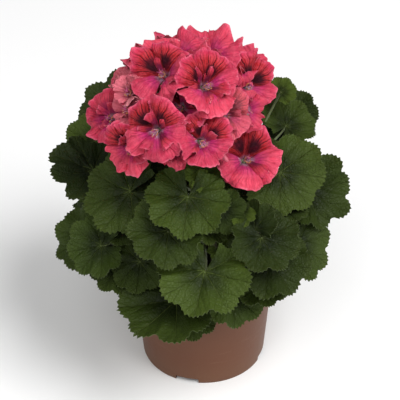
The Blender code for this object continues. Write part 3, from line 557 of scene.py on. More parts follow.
def fine_relief(leaf, relief, x, y, r, degrees):
    """A blade's relief with its sharp pleats, furrows, frilled edge and swellings added."""
    vein = np.abs(np.sin(np.pi * degrees / LOBE_STEP))
    relief = relief + 0.056 * r * (1 - 0.35 * r) * (2 * vein**0.65 - 1.1)
    off = np.abs(degrees - LOBE_STEP * np.round(degrees / LOBE_STEP))
    spread = np.clip((r - 0.22) / 0.6, 0, 1) ** 0.75
    for turn, start, depth, width in FURROWS:
        furrow = np.exp(-np.abs(off - turn * spread) / width)
        relief = relief - depth * np.maximum(r - start, 0) * furrow
    a, phase = np.radians(degrees), blade_traits(leaf)["phase"]
    frill = np.sin(9 * a + 3 * phase) + 0.6 * np.sin(16 * a + phase)
    relief = relief + 0.028 * r**4 * frill
    draw = random.Random(SWELL_SEEDS + leaf.number)
    for _ in range(6):
        heading, pace = draw.uniform(0, 2 * math.pi), draw.uniform(8, 17)
        swell = np.sin(pace * (x * math.cos(heading) + y * math.sin(heading)) + draw.uniform(0, 6))
        relief = relief + 0.08 / pace * r * swell
    return relief


def blade_points(leaf, r, degrees, tooth=0.0, fine=False):
    """Middle surface of a blade: r from 0 at the petiole to 1 at the edge, angle from the tip."""
    traits = blade_traits(leaf)
    r = np.asarray(r, float)
    a = np.radians(degrees)
    outline = 1 - 0.38 * (np.abs(degrees) / 165.0) ** 3.2
    lobes = np.abs(np.cos(np.pi * degrees / LOBE_STEP)) ** 0.7
    outline = outline * (1 - traits["lobe"] * (1 - lobes)) * (1 + tooth)
    x = r * outline * np.cos(a)
    y = r * outline * np.sin(a) * traits["broad"]
    relief = traits["cup"] * r**2 + traits["fold"] * np.abs(y)
    relief = relief + traits["wave"] * r**2.5 * np.sin(traits["waves"] * a + traits["phase"])
    relief = relief - traits["droop"] * r**2 * np.cos(a)
    if fine:
        relief = fine_relief(leaf, relief, x, y, r, degrees)
    else:
        relief = relief - 0.030 * r * (1 - 0.35 * r) * np.cos(2 * np.pi * degrees / LOBE_STEP)
    side = leaf.normal.cross(leaf.tip)
    basis = np.array([leaf.tip, side, leaf.normal])
    local = np.stack([x, y, relief], axis=-1) * leaf.size
    return np.array(leaf.junction) + local @ basis


def coarse_blade(leaf):
    """The few points of the solid blade, half-way between its faces."""
    ring = (np.arange(RING_POINTS) - (RING_POINTS - 1) / 2) * RING_STEP
    edge = []
    teeth = (-12, 0, 12) if leaf.number < FULL_EDGES else (-10, 10)
    for lobe in range(-3, 4):
        middle = lobe * LOBE_STEP
        edge += [middle + tooth for tooth in teeth] + [middle + LOBE_STEP / 2]
    edge = np.clip(np.array([-SINUS_ANGLE + 8] + edge), -SINUS_ANGLE, SINUS_ANGLE)
    r = np.concatenate([np.full(len(ring), RING_SHARE), np.full(len(edge), 1.0)])
    return blade_points(leaf, r, np.concatenate([ring, edge]))


def solid_corners(names):
    """A tree that finds the nearest corner of some solids."""
    corners = [v.co for name in names for v in frame["nodes"][name].data.vertices]
    tree = KDTree(len(corners))
    for k, corner in enumerate(corners):
        tree.insert(corner, k)
    tree.balance()
    return tree


def misfit(tree, points):
    """Middle distance from some points to the solid's corners."""
    gaps = sorted(tree.find(Vector(p))[2] for p in points)
    return gaps[len(gaps) // 2]


def petiole_misfit(leaf, shoots, route, tree):
    """How far the solid's corners lie from the skin of a petiole on one route."""
    _, path = petiole_path(leaf, shoots, route)
    places = [bezier(path, t) for t in (1 / 3, 2 / 3)]
    return max(abs(tree.find(place)[2] - PETIOLE_RADIUS * 0.96) for place in places)


def stand_leaves(leaves, shoots):
    """Each leaf in the pose in which its solid stands, with its shoot and petiole."""
    tree = solid_corners([f"shoot_{shoot.number}" for shoot in shoots])
    routes = range(PETIOLE_STEMS * len(PETIOLE_HEIGHTS))
    standing = []
    for leaf in leaves:
        best, best_gap = None, math.inf
        for k in range(LEAF_CANDIDATES):
            pose = leaf_candidate(leaf, k)
            points = coarse_blade(pose)
            if tree.find(Vector(points[EDGE_POINT]))[2] > EDGE_NEAR:
                continue
            gap = misfit(tree, points)
            if gap < best_gap:
                best, best_gap = pose, gap
        if best is None or best_gap > SOLID_BLADE:
            continue
        route = min(routes, key=lambda n: petiole_misfit(best, shoots, n, tree))
        shoot, path = petiole_path(best, shoots, route)
        standing.append((best, shoot, path))
    return standing


def young_leaf(number, shoot, draw):
    """A small leaf by chance near a shoot's tip, with its shoot and petiole."""
    start = stem_point(shoot, draw.uniform(0.45, 1.0))
    azimuth = draw.uniform(0, 360)
    reach = draw.uniform(14, 34) * MM
    junction = start + unit_polar(azimuth, draw.uniform(40, 80)) * reach
    size = draw.uniform(13, 21) * MM
    normal = unit_polar(azimuth, draw.uniform(15, 65))
    outward = unit_polar(azimuth + draw.uniform(-30, 30), 90)
    tip = (outward - normal * outward.dot(normal)).normalized()
    leaf = Leaf(number, junction, -outward, size, normal, tip)
    lean = Vector((0, 0, reach * 0.4))
    end = petiole_end(leaf)
    leave = start + (end - start) * 0.3 + lean * 0.4
    return leaf, shoot, (start, leave, end - normal * reach * 0.4, end)


def young_leaves(shoots, standing, blooms):
    """Small leaves: those seen, and more where there is room between the grown ones."""
    seen = [seen_leaf(YOUNG_FROM + k, row) for k, row in enumerate(SEEN_YOUNG)]
    young = [(leaf, *petiole_path(leaf, shoots, 0)) for leaf in seen]
    taken = [Vector(p) for leaf, _, _ in standing for p in coarse_blade(leaf)]
    taken += [bloom.middle - bloom.axis * lift * MM for bloom in blooms for lift in (4, 14)]
    for shoot in shoots:
        for k in range(YOUNG_PER_SHOOT):
            number = 100 + 10 * shoot.number + k
            draw = random.Random(number)
            for _ in range(YOUNG_TRIES):
                grown = young_leaf(number, shoot, draw)
                own = [Vector(p) for p in coarse_blade(grown[0])]
                if min((a - b).length for a in own[::3] for b in taken) > YOUNG_GAP:
                    young.append(grown)
                    taken += own
                    break
    return young


# Meshes


def linked(name, data):
    """A new object in the scene."""
    obj = bpy.data.objects.new(name, data)
    bpy.context.scene.collection.objects.link(obj)
    return obj


def sheet_normals(points, faces):
    """Unit normal at each point of a sheet of triangles and quads."""
    normals = np.zeros_like(points)
    for count in (3, 4):
        some = np.array([face for face in faces if len(face) == count])
        if not len(some):
            continue
        corners = points[some]
        square = np.cross(corners[:, 2] - corners[:, 0], corners[:, -1] - corners[:, 1])
        for k in range(count):
            np.add.at(normals, some[:, k], square)
    return normals / np.maximum(np.linalg.norm(normals, axis=1), 1e-12)[:, None]


def shell_faces(faces, count):
    """Faces of the closed shell about a sheet: its front, its back and its edge."""
    shell = list(faces) + [tuple(k + count for k in reversed(face)) for face in faces]
    ways = {(f[k], f[(k + 1) % len(f)]) for f in faces for k in range(len(f))}
    for a, b in sorted(ways):
        if (b, a) not in ways:
            shell.append((b, a, a + count, b + count))
    return shell


def grid_faces(rows, columns):
    """Quads of a grid of points, row by row."""
    faces = []
    for i in range(rows - 1):
        for j in range(columns - 1):
            a = i * columns + j
            faces.append((a, a + columns, a + columns + 1, a + 1))
    return faces


class Build:
    """A mesh that grows by sheets, with a flat map and a few traits at each point."""

    def __init__(self):
        self.points = []
        self.faces = []
        self.flat = []
        self.traits = []
        self.count = 0

    def add(self, points, faces, flat, traits):
        """Adds points and faces with their flat map and traits."""
        self.points.append(points)
        self.faces += [tuple(k + self.count for k in face) for face in faces]
        self.flat.append(flat)
        self.traits.append(traits)
        self.count += len(points)

    def add_shell(self, points, faces, thickness, flat, traits, back_trait=1.0):
        """Adds a sheet as a thin closed shell, with its third trait changed on its back."""
        normals = sheet_normals(points, faces) * thickness / 2
        both = np.concatenate([points + normals, points - normals])
        back = traits.copy()
        back[:, 2] = back_trait
        shell = shell_faces(faces, len(points))
        self.add(both, shell, np.concatenate([flat, flat]), np.concatenate([traits, back]))

    def piece(self, name, finish, sharp=50):
        """The mesh object of all that was added."""
        mesh = bpy.data.meshes.new(name)
        mesh.from_pydata(np.concatenate(self.points).tolist(), [], self.faces)
        flat = np.concatenate(self.flat)
        corner = np.zeros(len(mesh.loops), np.int32)
        mesh.loops.foreach_get("vertex_index", corner)
        layer = mesh.uv_layers.new(name="flat")
        layer.data.foreach_set("uv", flat[corner].astype(np.float32).ravel())
        traits = np.concatenate(self.traits)
        held = mesh.attributes.new("traits", "FLOAT_COLOR", "POINT")
        held.data.foreach_set("color", traits.astype(np.float32).ravel())
        mesh.update()
        mesh.shade_smooth()
        mesh.set_sharp_from_angle(angle=math.radians(sharp))
        mesh.materials.append(finish)
        return linked(name, mesh)


# Finishes


class Finish:
    """A node material, put together one node at a time."""

    def __init__(self, name, roughness, **constants):
        self.material = bpy.data.materials.new(name)
        self.material.use_nodes = True
        self.tree = self.material.node_tree
        self.shader = self.tree.nodes["Principled BSDF"]
        self.shader.inputs["Roughness"].default_value = roughness
        for key, value in constants.items():
            self.shader.inputs[key.replace("_", " ")].default_value = value

    def feed(self, socket, value):
        """Links another node's output to a socket, or sets its value."""
        if isinstance(value, bpy.types.NodeSocket):
            self.tree.links.new(value, socket)
        elif isinstance(value, tuple) and len(value) == 3 and socket.type == "RGBA":
            socket.default_value = (*value, 1)
        else:
            socket.default_value = value

    def node(self, kind, inputs=(), **settings):
        made = self.tree.nodes.new(kind)
        for key, value in settings.items():
            setattr(made, key, value)
        for key, value in dict(inputs).items():
            self.feed(made.inputs[key], value)
        return made

    def math(self, operation, a, b=0.0, c=0.0):
        return self.node("ShaderNodeMath", {0: a, 1: b, 2: c}, operation=operation).outputs[0]

    def mix(self, share, a, b):
        made = self.node("ShaderNodeMix", data_type="RGBA")
        for key, value in ((0, share), (6, a), (7, b)):
            self.feed(made.inputs[key], value)
        return made.outputs[2]

    def ease(self, value, low, high, start=0.0, end=1.0):
        """Smooth step of a value, from start at low to end at high."""
        inputs = {"Value": value, "From Min": low, "From Max": high}
        inputs.update({"To Min": start, "To Max": end})
        made = self.node("ShaderNodeMapRange", inputs, interpolation_type="SMOOTHSTEP")
        return made.outputs[0]

    def noise(self, vector, scale, detail=2.0, distortion=0.0):
        inputs = {"Vector": vector, "Scale": scale, "Detail": detail, "Distortion": distortion}
        return self.node("ShaderNodeTexNoise", inputs).outputs[0]

    def place(self):
        """The point on the piece, in the piece's own coordinates."""
        return self.node("ShaderNodeTexCoord").outputs["Object"]

    def flat(self):
        """The two flat coordinates of the surface."""
        uv = self.node("ShaderNodeUVMap", uv_map="flat").outputs[0]
        parts = self.node("ShaderNodeSeparateXYZ", {0: uv})
        return uv, parts.outputs[0], parts.outputs[1]

    def traits(self):
        """The three chance or chosen values that a mesh carries at each point."""
        held = self.node("ShaderNodeAttribute", attribute_name="traits")
        parts = self.node("ShaderNodeSeparateColor", {0: held.outputs["Color"]})
        return parts.outputs[0], parts.outputs[1], parts.outputs[2]

    def colour(self, value):
        self.feed(self.shader.inputs["Base Color"], value)

    def bump(self, height, distance, strength=1.0):
        inputs = {"Height": height, "Distance": distance, "Strength": strength}
        made = self.node("ShaderNodeBump", inputs)
        self.tree.links.new(made.outputs[0], self.shader.inputs["Normal"])


def leaf_veins(f, uv, x, y, r):
    """Veins of a leaf, the beat of the side ones, and the distance to its finest net."""
    turn = f.math("DIVIDE", f.math("ARCTAN2", y, x), math.radians(LOBE_STEP))
    lobe = f.math("ROUND", turn)
    off = f.math("MULTIPLY", f.math("SUBTRACT", turn, lobe), math.radians(LOBE_STEP))
    side = f.math("MULTIPLY", r, f.math("SINE", off))
    aside = f.math("ABSOLUTE", side)
    along = f.math("MULTIPLY", r, f.math("COSINE", off))
    width = f.math("MULTIPLY_ADD", r, -0.010, 0.017)
    main = f.ease(f.math("DIVIDE", aside, width), 1.0, 0.2)
    branch = f.math("MULTIPLY_ADD", f.math("POWER", aside, 0.85), -1.35, along)
    stagger = f.math("MULTIPLY_ADD", f.math("SIGN", side), 0.22, f.math("MULTIPLY", lobe, 0.37))
    beat = f.math("PINGPONG", f.math("MULTIPLY_ADD", branch, 4.0, stagger), 0.5)
    side_vein = f.math("MULTIPLY", f.ease(beat, 0.055, 0.0), f.ease(along, 0.15, 0.35))
    cells = f.node("ShaderNodeTexVoronoi", {"Vector": uv, "Scale": 34.0}, feature="DISTANCE_TO_EDGE")
    net = f.ease(cells.outputs[0], 0.07, 0.0)
    vein = f.math("MAXIMUM", main, f.math("MULTIPLY", side_vein, 0.45))
    vein = f.math("MAXIMUM", vein, f.math("MULTIPLY", net, 0.14))
    return vein, beat, cells.outputs[0]


def leaf_green():
    """Matte leaf: dark between its veins, a little lighter along them and at its edge, with painted shade
    darkening it toward the petiole.
    """
    f = Finish("leaf green", 0.50, Specular_IOR_Level=0.14)
    uv, across, up = f.flat()
    fresh, tone, back = f.traits()
    wander = f.math("MULTIPLY_ADD", f.noise(uv, 7, 3), 0.10, -0.05)
    x = f.math("ADD", f.math("MULTIPLY_ADD", across, FLAT_SPAN, -FLAT_SPAN / 2), wander)
    y = f.math("ADD", f.math("MULTIPLY_ADD", up, FLAT_SPAN, -FLAT_SPAN / 2), wander)
    r = f.math("SQRT", f.math("ADD", f.math("MULTIPLY", x, x), f.math("MULTIPLY", y, y)))
    vein, beat, net = leaf_veins(f, uv, x, y, r)
    mottle = f.noise(f.place(), 55, 4)
    shade = f.math("ADD", f.math("MULTIPLY", tone, 0.6), f.math("MULTIPLY", mottle, 0.4))
    shade = f.ease(shade, 0.15, 0.85)
    blade = f.mix(shade, (0.0035, 0.0080, 0.0014), (0.031, 0.051, 0.0070))
    blade = f.mix(fresh, blade, (0.072, 0.108, 0.014))
    light = f.mix(0.30, blade, (0.14, 0.18, 0.045))
    # Painted shade: the blade darkens toward the petiole, where its cup lies in shade.
    deep = f.mix(0.80, blade, (0.002, 0.005, 0.001))
    blade = f.mix(f.ease(f.math("ADD", r, f.math("MULTIPLY", wander, 3.0)), 0.75, 0.15), blade, deep)
    blade = f.mix(f.ease(r, 0.25, 0.02, 0.0, 0.30), blade, light)
    blade = f.mix(f.ease(r, 0.80, 1.00, 0.0, 0.25), blade, light)
    blade = f.mix(f.math("MULTIPLY", vein, 0.85), blade, light)
    under = f.mix(f.math("MULTIPLY", vein, 0.6), (0.15, 0.19, 0.085), (0.25, 0.29, 0.16))
    f.colour(f.mix(back, blade, under))
    grain = f.math("MULTIPLY", f.noise(f.place(), 900, 2), 0.25)
    quilt = f.math("ADD", f.math("MULTIPLY", beat, 0.9), f.ease(net, 0.0, 0.3, 0.0, 0.35))
    f.bump(f.math("ADD", f.math("SUBTRACT", quilt, vein), grain), 0.0008, 1.0)
    return f.material


def petal_veins(f, uv, v):
    """Wavy veins that run along a petal, coarse and fine."""
    ray = f.math("ADD", v, f.math("MULTIPLY_ADD", f.noise(uv, 6, 3), 0.20, -0.10))
    lines = f.math("PINGPONG", f.math("MULTIPLY", ray, 4.0), 0.5)
    fine = f.math("PINGPONG", f.math("MULTIPLY_ADD", ray, 9.0, 0.25), 0.5)
    return f.math("MAXIMUM", f.ease(lines, 0.10, 0.0), f.math("MULTIPLY", f.ease(fine, 0.15, 0.0), 0.6))


def upper_scarlet(f, u, v, vein, cloud, patch):
    """An upper petal: scarlet round a maroon blotch that is feathered along the veins."""
    wide = f.math("POWER", f.math("DIVIDE", v, 0.62), 2.0)
    tall = f.math("POWER", f.math("DIVIDE", f.math("SUBTRACT", u, 0.40), 0.27), 2.0)
    away = f.math("SQRT", f.math("ADD", wide, tall))
    ragged = f.math("MULTIPLY_ADD", cloud, 0.7, -0.35)
    away = f.math("ADD", f.math("ADD", away, ragged), f.math("MULTIPLY", vein, -0.45))
    core = f.ease(away, 1.15, 0.45)
    halo = f.ease(away, 1.9, 0.9)
    feather = f.math("MULTIPLY", f.ease(away, 2.0, 0.6), vein)
    scarlet = f.mix(f.ease(u, 0.70, 1.0), (0.43, 0.018, 0.026), (0.55, 0.030, 0.090))
    scarlet = f.mix(patch, scarlet, PATCH_PINK)
    scarlet = f.mix(f.math("MULTIPLY", halo, 0.60), scarlet, (0.32, 0.012, 0.016))
    scarlet = f.mix(f.math("MULTIPLY", feather, 0.95), scarlet, (0.035, 0.002, 0.006))
    scarlet = f.mix(core, scarlet, (0.030, 0.002, 0.007))
    return f.mix(f.ease(u, 0.18, 0.05), scarlet, (0.45, 0.16, 0.24))


def lower_pink(f, u, vein, tone, patch):
    """A lower petal: pink, magenta further in, with a pale veined throat."""
    pink = f.mix(tone, (0.46, 0.027, 0.074), (0.70, 0.058, 0.108))
    magenta = f.mix(f.ease(u, 0.74, 0.34, 0.0, 0.85), pink, (0.50, 0.022, 0.160))
    throat = f.mix(f.ease(u, 0.34, 0.14), magenta, (0.62, 0.40, 0.55))
    near = f.math("MULTIPLY", f.ease(u, 0.60, 0.25), vein)
    lower = f.mix(f.math("MULTIPLY", near, 0.8), throat, (0.25, 0.010, 0.085))
    lower = f.mix(f.math("MULTIPLY", vein, 0.10), lower, (0.45, 0.02, 0.07))
    return f.mix(patch, lower, PATCH_PINK)


def petal_coral():
    """Crinkled petals with light patches, a light rim that is partly pale margin and partly painted
    highlight, and a pale back.
    """
    f = Finish("petal coral", 0.6, Specular_IOR_Level=0.12, Subsurface_Weight=0.06, Subsurface_Scale=0.002)
    f.shader.inputs["Subsurface Radius"].default_value = (1.0, 0.35, 0.3)
    uv, across, u = f.flat()
    upper, tone, back = f.traits()
    v = f.math("MULTIPLY_ADD", across, 2.0, -1.0)
    cloud = f.noise(f.place(), 120, 3)
    patch = f.ease(f.noise(f.place(), 260, 3), 0.35, 0.65, 0.0, 0.22)
    vein = petal_veins(f, uv, v)
    scarlet = upper_scarlet(f, u, v, vein, cloud, patch)
    front = f.mix(upper, lower_pink(f, u, vein, tone, patch), scarlet)
    # The light rim is partly the petal's own pale margin and partly a painted highlight along its curled
    # edges.
    rim = f.math("MAXIMUM", f.ease(u, 0.91, 1.0), f.ease(f.math("ABSOLUTE", v), 0.92, 1.0))
    front = f.mix(f.math("MULTIPLY", rim, f.ease(cloud, 0.35, 0.65, 0.05, 0.50)), front, (0.82, 0.20, 0.29))
    front = f.mix(f.ease(cloud, 0.55, 0.25, 0.0, 0.30), front, (0.28, 0.008, 0.032))
    pale = f.mix(f.math("MULTIPLY", vein, 0.25), (0.74, 0.17, 0.22), (0.62, 0.08, 0.14))
    pale = f.mix(f.ease(tone, 0.5, 1.0, 0.0, 0.6), pale, (0.80, 0.36, 0.38))
    f.colour(f.mix(back, front, pale))
    crinkle = f.math("ADD", f.noise(uv, 9, 3, 0.8), f.math("MULTIPLY", f.noise(uv, 30, 3, 0.6), 0.5))
    f.bump(f.math("SUBTRACT", crinkle, f.math("MULTIPLY", vein, 0.4)), 0.0016, 0.9)
    return f.material


def stalk_green():
    """Soft green stalks that turn brown and woody low down."""
    f = Finish("stalk green", 0.55, Sheen_Weight=0.2)
    _, tone, woody = f.traits()
    place = f.place()
    streak = f.noise(f.node("ShaderNodeMapping", {0: place, 3: (600, 600, 40)}).outputs[0], 1, 3)
    green = f.mix(streak, (0.055, 0.090, 0.022), (0.105, 0.145, 0.042))
    green = f.mix(f.math("MULTIPLY", tone, 0.5), green, (0.20, 0.16, 0.07))
    bark = f.mix(streak, (0.050, 0.035, 0.018), (0.130, 0.095, 0.050))
    f.colour(f.mix(woody, green, bark))
    f.bump(streak, 0.0004, 0.6)
    return f.material


def flesh(name, colour, roughness):
    """A small soft part of one colour, faintly mottled."""
    f = Finish(name, roughness)
    spots = f.noise(f.place(), 700, 2)
    f.colour(f.mix(f.math("MULTIPLY", spots, 0.5), colour, tuple(c * 0.6 for c in colour)))
    return f.material


def pot_plastic():
    """Matte injection-moulded plastic with faint scuffs and a dusty foot."""
    f = Finish("terracotta plastic", 0.5, Specular_IOR_Level=0.25)
    place = f.place()
    height = f.node("ShaderNodeSeparateXYZ", {0: place}).outputs[2]
    cloud = f.noise(place, 16, 4)
    fine = f.noise(place, 420, 3)
    scuff = f.noise(f.node("ShaderNodeMapping", {0: place, 3: (30, 30, 260)}).outputs[0], 1, 4)
    base = f.mix(cloud, (0.116, 0.042, 0.019), (0.142, 0.054, 0.026))
    base = f.mix(f.ease(scuff, 0.62, 0.80, 0.0, 0.25), base, (0.24, 0.13, 0.08))
    dust = f.math("MULTIPLY", f.ease(height, 0.030, 0.0), fine)
    base = f.mix(f.math("MULTIPLY", dust, 0.35), base, (0.20, 0.12, 0.07))
    f.colour(base)
    f.feed(f.shader.inputs["Roughness"], f.math("MULTIPLY_ADD", fine, 0.16, 0.40))
    f.bump(fine, 0.0002, 0.35)
    return f.material


def peat():
    """Dark fibrous potting soil."""
    f = Finish("peat soil", 0.95)
    place = f.place()
    coarse = f.noise(place, 240, 4)
    fine = f.noise(place, 1100, 3)
    base = f.mix(coarse, (0.012, 0.008, 0.005), (0.060, 0.038, 0.022))
    f.colour(f.mix(f.ease(fine, 0.60, 0.75), base, (0.11, 0.075, 0.045)))
    f.bump(f.math("ADD", coarse, fine), 0.0015, 0.9)
    return f.material


# Geometry node trees


class Tree:
    """A geometry node tree with named inputs."""

    def __init__(self, name, sockets):
        self.group = bpy.data.node_groups.new(name, "GeometryNodeTree")
        face = self.group.interface
        face.new_socket("Geometry", in_out="INPUT", socket_type="NodeSocketGeometry")
        self.keys = {}
        for label, kind, value in sockets:
            made = face.new_socket(label, in_out="INPUT", socket_type="NodeSocket" + kind)
            if value is not None:
                made.default_value = value
            self.keys[label] = made.identifier
        face.new_socket("Geometry", in_out="OUTPUT", socket_type="NodeSocketGeometry")
        self.given = self.group.nodes.new("NodeGroupInput")
        self.end = self.group.nodes.new("NodeGroupOutput")

    def node(self, kind, inputs=(), **settings):
        made = self.group.nodes.new(kind)
        for key, value in settings.items():
            setattr(made, key, value)
        for key, value in dict(inputs).items():
            if isinstance(value, bpy.types.NodeSocket):
                self.group.links.new(value, made.inputs[key])
            else:
                made.inputs[key].default_value = value
        return made

    def take(self, label):
        """The value of one of the tree's inputs."""
        return self.given.outputs[label]

    def chance(self, low, high):
        """A random vector at each point, between two corners."""
        inputs = {0: low, 1: high}
        return self.node("FunctionNodeRandomValue", inputs, data_type="FLOAT_VECTOR").outputs[0]

    def spread(self, density):
        """Points strewn over the given surface."""
        return self.node("GeometryNodeDistributePointsOnFaces", {
            "Mesh": self.take("Geometry"), "Density": self.take(density), "Seed": self.take("Seed"),
        })

    def close(self, geometry):
        """Ends the tree with real geometry in its finish."""
        real = self.node("GeometryNodeRealizeInstances", {0: geometry})
        inputs = {0: real.outputs[0], "Material": self.take("Finish")}
        done = self.node("GeometryNodeSetMaterial", inputs)
        self.group.links.new(done.outputs[0], self.end.inputs[0])

    def grow(self, name, obj, **values):
        """Runs the tree on an object, and gives the result as a plain mesh object."""
        modifier = obj.modifiers.new(self.group.name, "NODES")
        modifier.node_group = self.group
        for label, value in values.items():
            modifier[self.keys[label.replace("_", " ")]] = value
        graph = bpy.context.evaluated_depsgraph_get()
        mesh = bpy.data.meshes.new_from_object(
            obj.evaluated_get(graph), preserve_all_data_layers=True, depsgraph=graph
        )
        obj.modifiers.clear()
        mesh.name = name
        return linked(name, mesh)


def sweep_tree():
    """Round stalks along lines, as thick as each line's points say."""
    tree = Tree("stalk sweep", (("Sides", "Int", 8), ("Finish", "Material", None)))
    line = tree.node("GeometryNodeMeshToCurve", {0: tree.take("Geometry")})
    thick = tree.node("GeometryNodeInputNamedAttribute", {"Name": "thick"}, data_type="FLOAT")
    sides = {"Resolution": tree.take("Sides"), "Radius": 1.0}
    ring = tree.node("GeometryNodeCurvePrimitiveCircle", sides)
    tube = tree.node("GeometryNodeCurveToMesh", {
        0: line.outputs[0], 1: ring.outputs[0], "Scale": thick.outputs[0], "Fill Caps": True,
    })
    tree.close(tube.outputs[0])
    return tree


def hair_tree():
    """Short stiff hairs that stand out from a surface."""
    tree = Tree("stalk hairs", (
        ("Hairs per area", "Float", 40000.0), ("Length", "Float", 1.1 * MM),
        ("Thickness", "Float", 0.05 * MM), ("Seed", "Int", 4), ("Finish", "Material", None),
    ))
    spread = tree.spread("Hairs per area")
    hair = tree.node("GeometryNodeMeshCone", {
        "Vertices": 3, "Radius Top": 0.0, "Radius Bottom": tree.take("Thickness"),
        "Depth": tree.take("Length"),
    })
    lean = tree.chance((-0.35, -0.35, -0.35), (0.35, 0.35, 0.35))
    ways = {0: spread.outputs["Normal"], 1: lean}
    way = tree.node("ShaderNodeVectorMath", ways, operation="ADD")
    turned = tree.node("FunctionNodeAlignRotationToVector", {"Vector": way.outputs[0]}, axis="Z")
    stood = tree.node("GeometryNodeInstanceOnPoints", {
        "Points": spread.outputs["Points"], "Instance": hair.outputs[0],
        "Rotation": turned.outputs[0],
    })
    tree.close(stood.outputs[0])
    return tree


def grain_tree():
    """Loose crumbs of soil strewn over a surface."""
    tree = Tree("soil crumbs", (
        ("Crumbs per area", "Float", 90000.0), ("Size", "Float", 1.1 * MM),
        ("Seed", "Int", 8), ("Finish", "Material", None),
    ))
    spread = tree.spread("Crumbs per area")
    crumb = tree.node("GeometryNodeMeshIcoSphere", {"Radius": tree.take("Size"), "Subdivisions": 1})
    size = tree.chance((0.25, 0.25, 0.2), (1.3, 1.0, 0.9))
    turn = tree.chance((0.0, 0.0, 0.0), (6.28, 6.28, 6.28))
    strewn = tree.node("GeometryNodeInstanceOnPoints", {
        "Points": spread.outputs["Points"], "Instance": crumb.outputs[0],
        "Rotation": turn, "Scale": size,
    })
    tree.close(strewn.outputs[0])
    return tree


# Pieces


def settle(obj, slot, *nodes):
    """Attaches a finished piece to the plant's body and hides the solids that it stands for."""
    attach(obj, "root")
    if nodes:
        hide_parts(*nodes)
    return obj


def blade_pattern(rows, teeth):
    """Rows of a fine blade, its teeth per lobe, the angles of its columns and its faces."""
    step = LOBE_STEP / (2 * teeth)
    half = int(SINUS_ANGLE / step)
    degrees = np.arange(-half, half + 1) * step
    columns = len(degrees)
    faces = [(0, 1 + j, 2 + j) for j in range(columns - 1)]
    faces += [tuple(k + 1 for k in face) for face in grid_faces(len(rows), columns)]
    return rows, teeth, degrees, faces


def fine_blade(build, leaf, pattern, fresh):
    """A waved blade with a toothed edge and pleats along its veins."""
    rows, teeth_per_lobe, degrees, faces = pattern
    draw = np.random.default_rng(leaf.number)
    tips = np.arange(len(degrees)) - len(degrees) // 2
    peaks = draw.uniform(0.012, 0.038, len(tips))
    gaps = draw.uniform(-0.030, -0.012, len(tips))
    height = np.where(tips % 2 == 0, peaks, gaps)
    shift = draw.uniform(-0.7, 0.7, len(tips))
    shift[tips % (2 * teeth_per_lobe) == 0] = 0
    r, turned, teeth = [0.0], [0.0], [0.0]
    for row in rows:
        r += [row] * len(degrees)
        edge = max(0.0, (row - 0.86) / 0.14) ** 1.3
        teeth += list(height * edge)
        turned += list(degrees + shift * edge)
    r, turned, teeth = np.array(r), np.array(turned), np.array(teeth)
    points = blade_points(leaf, r, turned, teeth, True)
    side = leaf.normal.cross(leaf.tip)
    local = (points - np.array(leaf.junction)) / leaf.size
    flat = np.stack([local @ np.array(leaf.tip), local @ np.array(side)], axis=-1)
    flat = flat / FLAT_SPAN + 0.5
    traits = np.zeros((len(points), 4))
    traits[:, 0] = fresh
    traits[:, 1] = random.Random(TONE_SEEDS + leaf.number).random()
    traits[:, 3] = 1
    build.add_shell(points, faces, BLADE_THICKNESS, flat, traits)


def about_axis(base, axis, up, turn, along, across, rise):
    """Points about a bloom's axis: so far out at a turn from its up, across that, and along it."""
    left = axis.cross(up)
    outward = np.array(up * math.cos(turn) + left * math.sin(turn))
    sideways = np.array(left * math.cos(turn) - up * math.sin(turn))
    return (
        np.array(base)
        + along[..., None] * outward
        + across[..., None] * sideways
        + rise[..., None] * np.array(axis)
    )


def petal_traits(size, draw):
    """The chance shape of one petal."""
    return {
        "phase": draw.uniform(0, 2 * math.pi),
        "ruffle": draw.uniform(0.06, 0.11) * size,
        "lean": draw.uniform(-17, 17),
        "frill": draw.uniform(0.10, 0.16) * size,
        "bend": draw.uniform(-0.24, 0.06) * size,
        "roll": draw.uniform(0.0, 0.20) * size,
    }


def ragged_edge(v, phase, draw):
    """How far a petal reaches at each place across it, as a share of its length."""
    edge = 1 - 0.44 * (1 - np.cos(v * math.pi / 2)) + 0.03 * np.sin(4 * v + phase)
    for _ in range(4):
        pace = draw.uniform(9, 34)
        edge = edge + 0.14 / pace**0.8 * np.sin(pace * v + draw.uniform(0, 2 * math.pi))
    return edge


def petal_waves(u, v, size, traits, draw):
    """How far its ruffle, frills, roll, crimps and swellings lift a petal's surface."""
    phase = traits["phase"]
    wave = 0.8 * traits["ruffle"] * u**3 * np.sin(math.pi * 1.5 * v + phase) * (1 - 0.6 * np.abs(v) ** 3)
    for k, usual_pace in enumerate(FRILL_PACES):
        pace = usual_pace * draw.uniform(0.8, 1.25)
        crest = np.sin(pace * v + draw.uniform(0, 2 * math.pi)) * draw.uniform(0.5, 1.2)
        wave = wave + traits["frill"] * 4.2 / pace * u ** (5 + 2 * k) * crest
    wave = wave + traits["bend"] * u * v * v - traits["roll"] * u**4
    crimp = np.sin(31 * v + phase) + 0.8 * np.sin(19 * v - 2 * phase)
    wave = wave + 0.008 * size * u**7 * crimp
    for _ in range(6):
        slope = draw.uniform(4, 11) * u + draw.uniform(2, 8) * v * draw.choice((-1, 1))
        wave = wave + 0.019 * size * u * np.sin(slope + draw.uniform(0, 2 * math.pi))
    return wave


